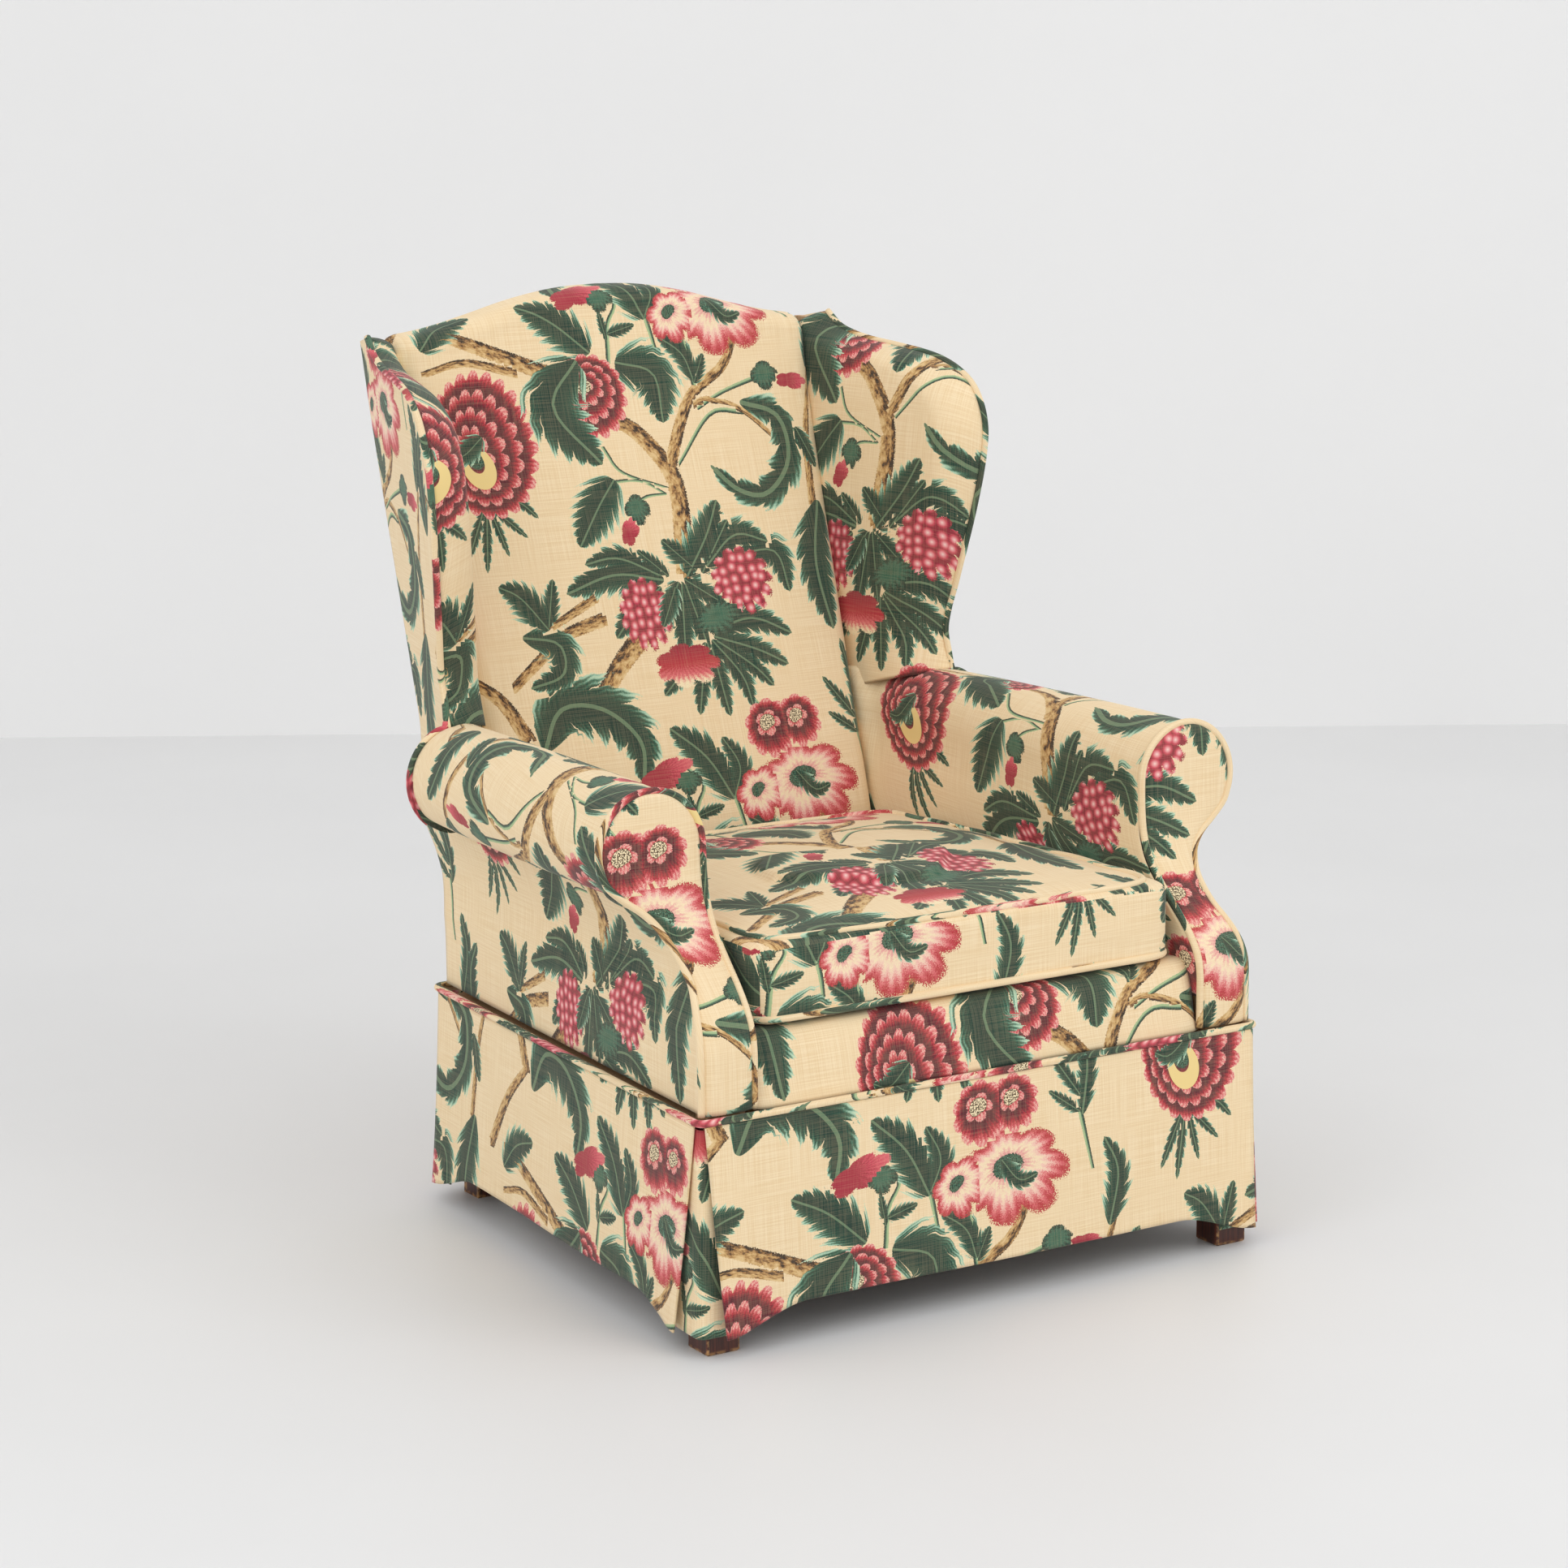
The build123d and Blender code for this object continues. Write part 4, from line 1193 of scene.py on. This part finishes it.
def paint_blooms(tree, under, rough):
    """Flowers in rows of petals. Their kind picks the rows, the petals in the last row and the heart."""
    put = partial(add, tree)
    split = put("SeparateXYZ", put("Attribute", attribute_name="bloom", output=1), output=None)
    x, y, code = split.outputs[:3]
    # kind:   1 open flower, 2 carnation, 3 great scaled flower, 4 small round, 5 berry, 6 bud, 7 cup, 8 shell
    rows = [1, 4, 5, 2, 1, 1, 1, 1]
    petals = [7, 17, 23, 10, 13, 5, 4, 7]
    hearts = [0.28, 0.20, 0.22, 0.32, 0.0, 0.0, 0.0, 0.0]
    marks = [((k + 0.5) / 10, (rows[k] / 10, petals[k] / 40, hearts[k])) for k in range(8)]
    kinds = put("ValToRGB", code, stops=[(0.0, (0, 0, 0))] + marks, output=None)
    kinds.color_ramp.interpolation = "CONSTANT"
    chosen = put("SeparateColor", kinds.outputs["Color"], output=None)
    row_count = put("MULTIPLY", chosen.outputs[0], 10.0)
    petal_count = put("MULTIPLY", chosen.outputs[1], 40.0)
    # The rows close in on a heart that is a little off the middle
    round_r = put("SQRT", put("MULTIPLY_ADD", x, x, put("MULTIPLY", y, y)))
    lean = put("MULTIPLY", put("MAXIMUM", put("SUBTRACT", 1.0, round_r), 0.0), 0.32)
    x_in, y_in = put("ADD", x, put("MULTIPLY", lean, 0.5)), put("SUBTRACT", y, lean)
    r = put("SQRT", put("MULTIPLY_ADD", x_in, x_in, put("MULTIPLY", y_in, y_in)))
    turn = put("MULTIPLY", put("ARCTAN2", y_in, x_in), 1 / (2 * math.pi))
    depth = put("MULTIPLY", r, row_count)
    row = put("FLOOR", depth)
    in_row = put("ROUND", put("DIVIDE", put("MULTIPLY", petal_count, put("ADD", row, 1.0)), row_count))
    around = put("MULTIPLY_ADD", turn, in_row, put("MULTIPLY", row, 0.5))
    aside = put("MULTIPLY", put("PINGPONG", around, 0.5), 2.0)
    wobble = put("MULTIPLY_ADD", rough, 0.36, 0.82)
    notch = put("MULTIPLY_ADD", row_count, 0.08, 0.16)
    reach = put("MULTIPLY", put("SUBTRACT", 1.0, put("MULTIPLY", put("POWER", aside, 2.2), notch)), wobble)
    within = put("DIVIDE", put("FRACT", depth), reach)
    petal = put("LESS_THAN", within, 1.0)
    last = put("GREATER_THAN", row, put("SUBTRACT", row_count, 1.5))
    gap = put("MULTIPLY", last, put("SUBTRACT", 1.0, petal))
    outside = put("MAXIMUM", put("GREATER_THAN", depth, row_count), gap)
    inside = put("MULTIPLY", put("SUBTRACT", 1.0, outside), put("GREATER_THAN", code, 0.05))
    streak = put("SINE", put("MULTIPLY_ADD", around, 2 * math.pi * 4, put("MULTIPLY", rough, 9.0)))
    tone = put("MULTIPLY_ADD", streak, 0.12,
               put("MULTIPLY_ADD", put("MULTIPLY", aside, aside), -0.42, within))
    reds = put("ValToRGB", tone,
               stops=[(0.0, maroon), (0.28, "#86202F"), (0.50, red), (0.72, pink), (0.86, "#F2C6B4"),
                      (0.95, pink)])
    opened = put("MULTIPLY_ADD", streak, 0.07, put("MULTIPLY_ADD", rough, 0.2, put("ADD", within, -0.1)))
    opened = put("ValToRGB", opened,
                 stops=[(0.0, "#C9485A"), (0.34, "#E9A9A0"), (0.50, cream), (0.66, "#F2C4B4"),
                        (0.80, pink), (0.92, red)])
    drupe = put("TexVoronoi", put("CombineXYZ", x, y, 0.0), 3.3, 0.0, 0.5, 2.0, 0.45, voronoi_dimensions="2D")
    berry = put("ValToRGB", drupe,
                stops=[(0.0, "#F6D5CC"), (0.16, "#EB9EA0"), (0.36, "#CC4458"), (0.56, "#8E1D33")])
    bud = put("ValToRGB", put("MULTIPLY_ADD", streak, 0.2, x),
              stops=[(0.0, "#A5243A"), (0.5, "#D0495C"), (0.9, pink)])
    cup = put("ValToRGB", put("MULTIPLY_ADD", streak, 0.2, r),
              stops=[(0.0, "#2B5A45"), (0.5, mid), (0.9, dark)])
    shell = put("ValToRGB", put("MULTIPLY_ADD", streak, 0.06, put("MULTIPLY_ADD", y, -0.5, 0.5)),
                stops=[(0.0, "#8F1E33"), (0.50, red), (0.72, pink), (0.88, cream)])
    colour = put("MixRGB", put("LESS_THAN", petal, 0.5), reds, linear(maroon))
    colour = put("MixRGB", put("LESS_THAN", code, 0.15), colour, opened)
    for low, other in ((0.45, berry), (0.55, bud), (0.65, cup), (0.75, shell)):
        colour = put("MixRGB", put("GREATER_THAN", code, low), colour, other)
    speck = put("GREATER_THAN", rough, 0.50)
    heart = put("MixRGB", speck, linear("#4A3420"), linear(cream))
    green_heart = put("MixRGB", speck, linear(dark), linear(mid))
    odd = put("COMPARE", put("ABSOLUTE", put("SUBTRACT", code, 0.2)), 0.1, 0.03)
    heart = put("MixRGB", odd, heart, green_heart)
    at_heart = put("LESS_THAN", put("MULTIPLY", r, wobble), chosen.outputs[2])
    # The great scaled flower has a cream crescent beside its heart
    arc = put("MULTIPLY", put("COMPARE", put("ADD", r, put("MULTIPLY", x_in, 0.4)), 0.24, 0.075),
              put("LESS_THAN", x_in, 0.06))
    arc = put("MULTIPLY", arc, put("COMPARE", code, 0.3, 0.04))
    colour = put("MixRGB", at_heart, colour, heart)
    colour = put("MixRGB", arc, colour, linear("#EFD48E"))
    return put("MixRGB", inside, under, colour)


def weave(tree, shader, thread=0.9, depth=0.25):
    """A plain weave from the cloth coordinates: threads each way, some of them thicker, as a fine bump."""
    put = partial(add, tree)
    cloth = put("UVMap", uv_map="cloth")
    across, along = 1 / (thread * mm), 0.012 / mm
    warp = put("TexNoise", put("Mapping", cloth, (0, 0, 0), (0, 0, 0), (across, along, 1)), 1.0, 2.0, 0.5,
               noise_dimensions="2D")
    weft = put("TexNoise", put("Mapping", cloth, (0, 0, 0), (0, 0, 0), (along, across, 1)), 1.0, 2.0, 0.5,
               noise_dimensions="2D")
    threads = put("ADD", warp, weft)
    raise_surface(tree, shader, threads, depth, thread * mm * 0.35, 1.0)
    slubs = put("MULTIPLY_ADD", threads, 2.4, -1.9)
    return put("MINIMUM", put("MAXIMUM", slubs, 0.0), 1.0), cloth


# %% Printed linen union
def printed_linen():
    """Linen union with a slub weave, printed. Matt, with a faint sheen from the raised fibres."""
    material, tree, shader = new_material("printed_linen_union")
    slubs, cloth = weave(tree, shader)
    scaled = add(tree, "Mapping", cloth, (0, 0, 0), (0, 0, 0), (1 / mm, 1 / mm, 1))
    rough = add(tree, "TexNoise", scaled, 0.55, 2.0, 0.6, noise_dimensions="2D")
    ground_colour = add(tree, "MixRGB", slubs, linear(ground), linear(slub))
    colour = paint_branches(tree, ground_colour, rough)
    colour = paint_leaves(tree, "leaf", colour, rough)
    colour = paint_blooms(tree, colour, rough)
    colour = paint_leaves(tree, "over", colour, rough)
    faded = add(tree, "MULTIPLY", slubs, 0.11)
    colour = add(tree, "MixRGB", faded, colour, linear(slub))
    tree.links.new(colour, shader.inputs["Base Color"])
    shader.inputs["Roughness"].default_value = 0.86
    shader.inputs["Sheen Weight"].default_value = 0.12
    shader.inputs["Sheen Roughness"].default_value = 0.5
    return material


linen = printed_linen()
for piece in everything.values():
    piece.data.materials.clear()
    piece.data.materials.append(linen)
print("linen nodes", len(linen.node_tree.nodes))

# %% [markdown]
# ## Inside the chair
# What the covers hide is real too: the platform's calico pad and edge roll, nine coil springs, woven jute
# webbing, hessian, the foam of the cushion and the black cambric under the seat.

# %% Coil springs
spring_low, spring_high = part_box("seat_springs")
spring_columns = (-0.165, 0, 0.165)
spring_lines = (-0.275, -0.100, 0.075)
coil_radius = 0.036
wire = 0.0022
turns = 5


def coil_path(x, y):
    """A coil with its first and last turns laid flat, as an upholstery spring has."""
    path = []
    for t in np.linspace(0, turns, turns * 18 + 1):
        rise = ease((t - 0.35) / (turns - 0.7)) * 0.35 + np.clip((t - 0.35) / (turns - 0.7), 0, 1) * 0.65
        waist = 1 - 0.22 * math.sin(math.pi * min(max(t / turns, 0), 1))
        z = spring_low.z + wire + (spring_high.z - spring_low.z - 2 * wire) * rise
        a = 2 * math.pi * t
        path.append((x + coil_radius * waist * math.cos(a), y + coil_radius * waist * math.sin(a), z))
    return path


def take_in(bm, piece):
    """Moves a finished piece into a bmesh, so that several become one."""
    bm.from_mesh(piece.data)
    del everything[piece.name]
    bpy.data.objects.remove(piece)


spring_rows = {}
for row, y in enumerate(spring_lines):
    bm = bmesh.new()
    for x in spring_columns:
        take_in(bm, tube("one_spring", coil_path(x, y), wire, sides=6))
    spring_rows[row] = keep("coil_springs_row_" + str(row + 1), bm)
print("springs", [len(piece.data.polygons) for piece in spring_rows.values()])


# %% Webbing
web_low, web_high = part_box("seat_webbing")
web_thick = 0.0012
web_half = 0.025
web_rise = 0.0022


def strip(bm, start, end, across, lifts):
    """One strip of webbing that rises and falls over and under the strips that it crosses."""
    start, end, across = Vector(start), Vector(end), Vector(across)
    thick = Vector((0, 0, web_thick))
    rows = []
    for t in np.linspace(0, 1, 60):
        middle = start.lerp(end, t)
        middle.z += sum(rise * math.exp(-((t - place) / 0.05) ** 2) for place, rise in lifts)
        corners = [middle - across, middle + across, middle + across + thick, middle - across + thick]
        rows.append([bm.verts.new(corner) for corner in corners])
    for one, two in zip(rows, rows[1:]):
        for k in range(4):
            bm.faces.new((one[k], one[(k + 1) % 4], two[(k + 1) % 4], two[k]))
    bm.faces.new(rows[0][::-1])
    bm.faces.new(rows[-1])


bm = bmesh.new()
lengths = [-0.220, -0.110, 0.0, 0.110, 0.220]
crosses = [-0.300, -0.190, -0.080, 0.030, 0.140]
level = web_low.z
for i, x in enumerate(lengths):
    lifts = [((y + 0.394) / 0.628, web_rise * ((i + j) % 2)) for j, y in enumerate(crosses)]
    strip(bm, (x, -0.394, level), (x, 0.234, level), (web_half, 0, 0), lifts)
level += web_thick
for j, y in enumerate(crosses):
    half = 0.342 - narrowing(y + web_half)
    lifts = [((x + half) / (2 * half), web_rise * ((i + j + 1) % 2)) for i, x in enumerate(lengths)]
    strip(bm, (-half, y, level), (half, y, level), (0, web_half, 0), lifts)
bmesh.ops.recalc_face_normals(bm, faces=bm.faces)
seat_webbing = keep("seat_webbing_woven", bm)

# %% Platform pad, front edge roll and cushion foam
platform_rows = []
for y in np.linspace(deck_low.y + 0.002, deck_high.y - 0.002, 50):
    half = deck_high.x - (y - deck_low.y) * side_slope
    depth = (y - deck_low.y) / (deck_high.y - deck_low.y)
    platform_rows.append([(s * half, y, deck_high.z - 0.006
                           + 0.0045 * (1 - s * s) * (1 - (2 * depth - 1) ** 2)
                           - 0.004 * max(0, abs(s) - 0.94) / 0.06) for s in np.linspace(-1, 1, 60)])
platform = lay("platform_pad", platform_rows)
stuff(platform, (0, 0, -0.007), inward=0.0)
del everything["platform_pad"]

roll_low, roll_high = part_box("front_edge_roll")
roll_middle = (roll_low + roll_high) / 2
roll_radius = (roll_high.z - roll_low.z) / 2
roll_path = [(x, roll_middle.y, roll_middle.z) for x in np.linspace(roll_low.x, roll_high.x, 90)]
edge_roll = tube("edge_roll", roll_path, roll_radius * 0.97, sides=18)
del everything["edge_roll"]

core = keep("cushion_foam", cushion_start(0.012))
del everything["cushion_foam"]
soften = core.modifiers.new("round", "SUBSURF")
soften.levels = 1
soften.render_levels = 1
apply_all(core)
core.data.shade_smooth()


# %% Plain cloth, wood and metal
def cloth_material(name, colour, light, thread, rough=0.9):
    """A plain woven cloth on object coordinates: threads both ways, a little uneven."""
    material, tree, shader = new_material(name)
    put = partial(add, tree)
    where = put("TexCoord", output=3)
    size = 1 / (thread * mm)
    warp = put("TexNoise", put("Mapping", where, (0, 0, 0), (0, 0, 0), (size, size * 0.03, size * 0.03)),
               1.0, 2.0, 0.5)
    weft = put("TexNoise", put("Mapping", where, (0, 0, 0), (0, 0, 0), (size * 0.03, size, size)),
               1.0, 2.0, 0.5)
    threads = put("ADD", warp, weft)
    share = put("MapRange", threads, 0.7, 1.3, 0.0, 1.0)
    tree.links.new(put("MixRGB", share, linear(colour), linear(light)), shader.inputs["Base Color"])
    raise_surface(tree, shader, threads, 0.5, thread * mm * 0.5)
    shader.inputs["Roughness"].default_value = rough
    return material


def wood_material(name, colours, stained_below=None, centres=(), half=0.0205):
    """Wood with its grain along Z. Below a height it is stained brown, with pale worn edges."""
    material, tree, shader = new_material(name)
    put = partial(add, tree)
    where = put("TexCoord", output=3)
    grain = put("TexNoise", put("Mapping", where, (0, 0, 0), (0, 0, 0), (260, 260, 14)), 1.0, 4.0, 0.6)
    colour = put("ValToRGB", grain, stops=list(zip((0.25, 0.5, 0.75), colours)))
    if stained_below is not None:
        x, y, z = put("SeparateXYZ", where, output=None).outputs[:3]
        stain = put("ValToRGB", grain, stops=[(0.3, "#2A1410"), (0.5, "#4A2318"), (0.75, "#6A3420")])
        from_x = put("ABSOLUTE", put("SUBTRACT", put("ABSOLUTE", x), centres[0]))
        from_y = put("ABSOLUTE", put("SUBTRACT", y, centres[1]))
        nearest = put("MINIMUM", from_x, from_y)
        patchy = put("MapRange", put("TexNoise", where, 130.0, 3.0, 0.6), 0.42, 0.56, 0.0, 1.0)
        edge = put("MapRange", nearest, half - 0.0032, half - 0.0012, 0.0, 1.0)
        foot = put("MapRange", z, 0.005, 0.0015, 0.0, 0.8)
        worn = put("MULTIPLY", put("MAXIMUM", edge, foot), patchy)
        stain = put("MixRGB", worn, stain, linear("#B98A55"))
        colour = put("MixRGB", put("LESS_THAN", z, stained_below), colour, stain)
    tree.links.new(colour, shader.inputs["Base Color"])
    raise_surface(tree, shader, grain, 0.25, 0.0004)
    shader.inputs["Roughness"].default_value = 0.42 if stained_below else 0.6
    return material


def metal_material(name, colour, light, scratch):
    """Drawn or plated metal, dulled by handling."""
    material, tree, shader = new_material(name)
    put = partial(add, tree)
    blotch = put("TexNoise", put("TexCoord", output=3), scratch, 4.0, 0.6)
    tree.links.new(put("ValToRGB", blotch, stops=[(0.3, colour), (0.7, light)]), shader.inputs["Base Color"])
    tree.links.new(put("MapRange", blotch, 0.3, 0.7, 0.28, 0.5), shader.inputs["Roughness"])
    shader.inputs["Metallic"].default_value = 1.0
    return material


leg_low, leg_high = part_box("front_leg_right")
leg_middle = (leg_low + leg_high) / 2
leg_wood = wood_material("stained_leg_wood", ("#7A5030", "#946640", "#A87850"), 0.5,
                         (leg_middle.x, leg_middle.y), (leg_high.x - leg_low.x) / 2)
post_low, post_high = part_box("back_post_right")
post_wood = wood_material("beech_post_stained_foot", ("#B98A5E", "#CDA377", "#DCB78C"), 0.170,
                          ((post_low.x + post_high.x) / 2, 0.232), 0.015)
beech = wood_material("planed_beech", ("#B98A5E", "#CDA377", "#DCB78C"))
calico = cloth_material("unbleached_calico", "#CDBE9C", "#E0D4B6", 0.8)
hessian = cloth_material("jute_hessian", "#8A683F", "#B08A58", 1.6)
webbing_cloth = cloth_material("jute_webbing_cloth", "#7A5A38", "#A58256", 1.3)
cambric = cloth_material("black_cambric", "#141414", "#262626", 0.7)
foam = cloth_material("polyether_foam", "#D8C690", "#E6D8A8", 0.9)
zip_cloth = cloth_material("woven_zip_tape", "#C9AE7C", "#DCC596", 0.7)
steel = metal_material("spring_steel_wire", "#6E6C68", "#96948F", 90.0)
brass = metal_material("dull_plated_brass", "#8A6A38", "#B8975A", 160.0)

# %% CAD nodes keep their shape and get their finish
finishes = {"stained_leg": leg_wood, "beech": beech, "jute_webbing": webbing_cloth, "hessian": hessian,
            "dust_cloth": cambric, "zip_tape": zip_cloth, "zip_metal": brass, "steel_wire": steel,
            "calico": calico, "foam": foam, "floral_linen": linen}
slots = {part["node"]: part["material_slot"] for part in frame["record"]["subparts"]}
for node, slot_name in slots.items():
    cad = frame["nodes"][node]
    finish = post_wood if node.startswith("back_post") else finishes[slot_name]
    cad.data.materials.clear()
    cad.data.materials.append(finish)
print("finished", len(slots), "CAD nodes")

# %% [markdown]
# ## Where each piece belongs
# Each piece rides on a body of the frame and stands for the plain CAD solid of the same part, which is
# hidden.
# For the sheets, the size that they were cut to is worked out from their cloth coordinates.

# %% Rides, stands for, and declared softness
def flat_size(piece, layers=2):
    """The size of the cut that a sheet came from, from its cloth coordinates: width, length and area."""
    mesh = piece.data
    cloth = np.zeros(len(mesh.loops) * 2)
    mesh.uv_layers["cloth"].data.foreach_get("uv", cloth)
    cloth = cloth.reshape(-1, 2)
    spread = np.ptp(cloth, axis=0)
    area = 0.0
    for face in mesh.polygons:
        ring = cloth[list(face.loop_indices)]
        area += 0.5 * abs(np.dot(ring[:, 0], np.roll(ring[:, 1], 1))
                          - np.dot(ring[:, 1], np.roll(ring[:, 0], 1)))
    return float(spread[0]), float(spread[1]), min(area / layers, float(spread[0] * spread[1]))


def belongs(piece, body, *nodes, slot_name="floral_linen"):
    """The piece rides on a body and stands for CAD nodes, which are hidden. slot_name is not used."""
    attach(piece, body)
    if nodes:
        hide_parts(*nodes)
    return piece


for side in ("right", "left"):
    for part, fill in (("inside_wing", 0.8), ("inside_arm", 0.85)):
        name = part + "_" + side
        belongs(everything[name + "_cover"], "frame", name)
    for part in ("outside_arm", "outside_wing", "arm_facing"):
        name = part + "_" + side
        piece = belongs(everything[name + "_cover"], "frame", name)
        wide, long, area = flat_size(piece)
    for part in ("wing_piping", "facing_piping"):
        belongs(everything[part + "_" + side + "_cord"], "frame", part + "_" + side)
    skirt = belongs(everything["skirt_" + side + "_cloth"], "frame", "skirt_side_" + side)
    wide, long, area = flat_size(skirt)
belongs(inside_back, "frame", "inside_back")
for piece, node, held, rest in ((outside_back, "outside_back", "stretched", "crest_rail"),
                                (border, "front_border", "stretched", "front_seat_rail"),
                                (skirt_front, "skirt_front", "hung", "front_seat_rail"),
                                (skirt_back, "skirt_back", "hung", "back_seat_rail")):
    belongs(piece, "frame", node)
    wide, long, area = flat_size(piece)
for piece in pleats:
    belongs(piece, "frame", "skirt_pleat_inserts")
    wide, long, area = flat_size(piece)
belongs(skirt_piping, "frame", "skirt_piping")
belongs(cushion, "cushion", "cushion_cover")
belongs(top_ring, "cushion", "cushion_piping")
belongs(bottom_ring, "cushion")
belongs(core, "cushion", "cushion_core", slot_name="foam")
belongs(platform, "seat_deck", "seat_pad", slot_name="calico")
belongs(edge_roll, "frame", "front_edge_roll", slot_name="calico")
belongs(seat_webbing, "frame", "seat_webbing", slot_name="jute_webbing")
for row, piece in spring_rows.items():
    belongs(piece, "frame", slot_name="steel_wire")
    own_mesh(piece)
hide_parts("seat_springs")
for piece, finish in ((platform, calico), (edge_roll, calico), (seat_webbing, webbing_cloth), (core, foam)):
    piece.data.materials.clear()
    piece.data.materials.append(finish)
for piece in spring_rows.values():
    piece.data.materials.clear()
    piece.data.materials.append(steel)

# %% [markdown]
# ## Studio
# The chair stands on a pale floor before a pale wall, in soft even light with one broad softer key, so that
# the print's colours stay true. The lens is long, about 91 mm, as for a catalogue picture.

# %% Floor, wall, light and camera
bpy.context.scene.view_settings.view_transform = "Standard"
camera_place = Vector((-2.417, -3.867, 1.413))
camera_aim = Vector((-0.0328, -0.060, 0.5222))
camera_tilt = -0.0088
away = Vector((camera_aim.x - camera_place.x, camera_aim.y - camera_place.y, 0)).normalized()
aside = Vector((away.y, -away.x, 0))


def stage_plane(name, corners, colour, rough):
    """A large flat stage piece with a faint mottle."""
    bm = bmesh.new()
    bm.faces.new([bm.verts.new(c) for c in corners])
    plane = keep(name, bm)
    del everything[name]
    material, tree, shader = new_material(name + "_paint")
    mottle = add(tree, "TexNoise", add(tree, "TexCoord", output=3), 1.5, 3.0, 0.5)
    mottle = add(tree, "ValToRGB", mottle, stops=[(0.3, colour[0]), (0.7, colour[1])])
    tree.links.new(mottle, shader.inputs["Base Color"])
    shader.inputs["Roughness"].default_value = rough
    plane.data.materials.append(material)
    return plane


wall_far = 3.10
reach = 14.0
wall_foot = away * wall_far
floor_corners = [wall_foot - aside * reach, wall_foot - aside * reach - away * 2 * reach,
                 wall_foot + aside * reach - away * 2 * reach, wall_foot + aside * reach]
floor = stage_plane("studio_floor", floor_corners, ("#E4E4E4", "#E7E7E7"), 0.50)
wall_corners = [wall_foot - aside * reach, wall_foot + aside * reach,
                wall_foot + aside * reach + Vector((0, 0, 9)), wall_foot - aside * reach + Vector((0, 0, 9))]
wall = stage_plane("studio_wall", wall_corners, ("#EFEFEF", "#F1F1F1"), 0.8)
# A camera behind the wall sees through it, so that the back of the chair can be looked at
tree = wall.data.materials[0].node_tree
seen = add(tree, "LightPath", output=0)
behind = add(tree, "NewGeometry", output=6)
away_side = add(tree, "MULTIPLY", seen, behind)
paint = tree.nodes["Principled BSDF"].outputs[0]
both = add(tree, "MixShader", away_side, paint, add(tree, "BsdfTransparent"))
tree.links.new(both, tree.nodes["Material Output"].inputs["Surface"])

world = bpy.data.worlds.new("soft_white")
bpy.context.scene.world = world
world.use_nodes = True
world.node_tree.nodes["Background"].inputs["Color"].default_value = (1.0, 1.0, 1.0, 1.0)
world.node_tree.nodes["Background"].inputs["Strength"].default_value = 0.93


def softbox(name, place, aim, size, power):
    """A square area light that faces a place."""
    light = bpy.data.lights.new(name, "AREA")
    light.size = size
    light.energy = power
    lamp = bpy.data.objects.new(name, light)
    lamp.location = place
    lamp.rotation_euler = (Vector(aim) - Vector(place)).to_track_quat("-Z", "Y").to_euler()
    bpy.context.collection.objects.link(lamp)
    return lamp


softbox("key", (1.6, -3.6, 3.4), (0, 0, 0.5), 2.6, 38)
softbox("fill", (-3.6, -1.4, 2.6), (0, 0, 0.5), 2.4, 22)

camera_data = bpy.data.cameras.new("view")
camera_data.lens = 91.3
camera_data.sensor_width = 36.0
camera = bpy.data.objects.new("view", camera_data)
look = (camera_aim - camera_place).to_track_quat("-Z", "Y").to_matrix().to_4x4()
tilt = Matrix.Rotation(camera_tilt, 4, "Z")
camera.matrix_world = Matrix.Translation(camera_place) @ look @ tilt
bpy.context.collection.objects.link(camera)
bpy.context.scene.camera = camera
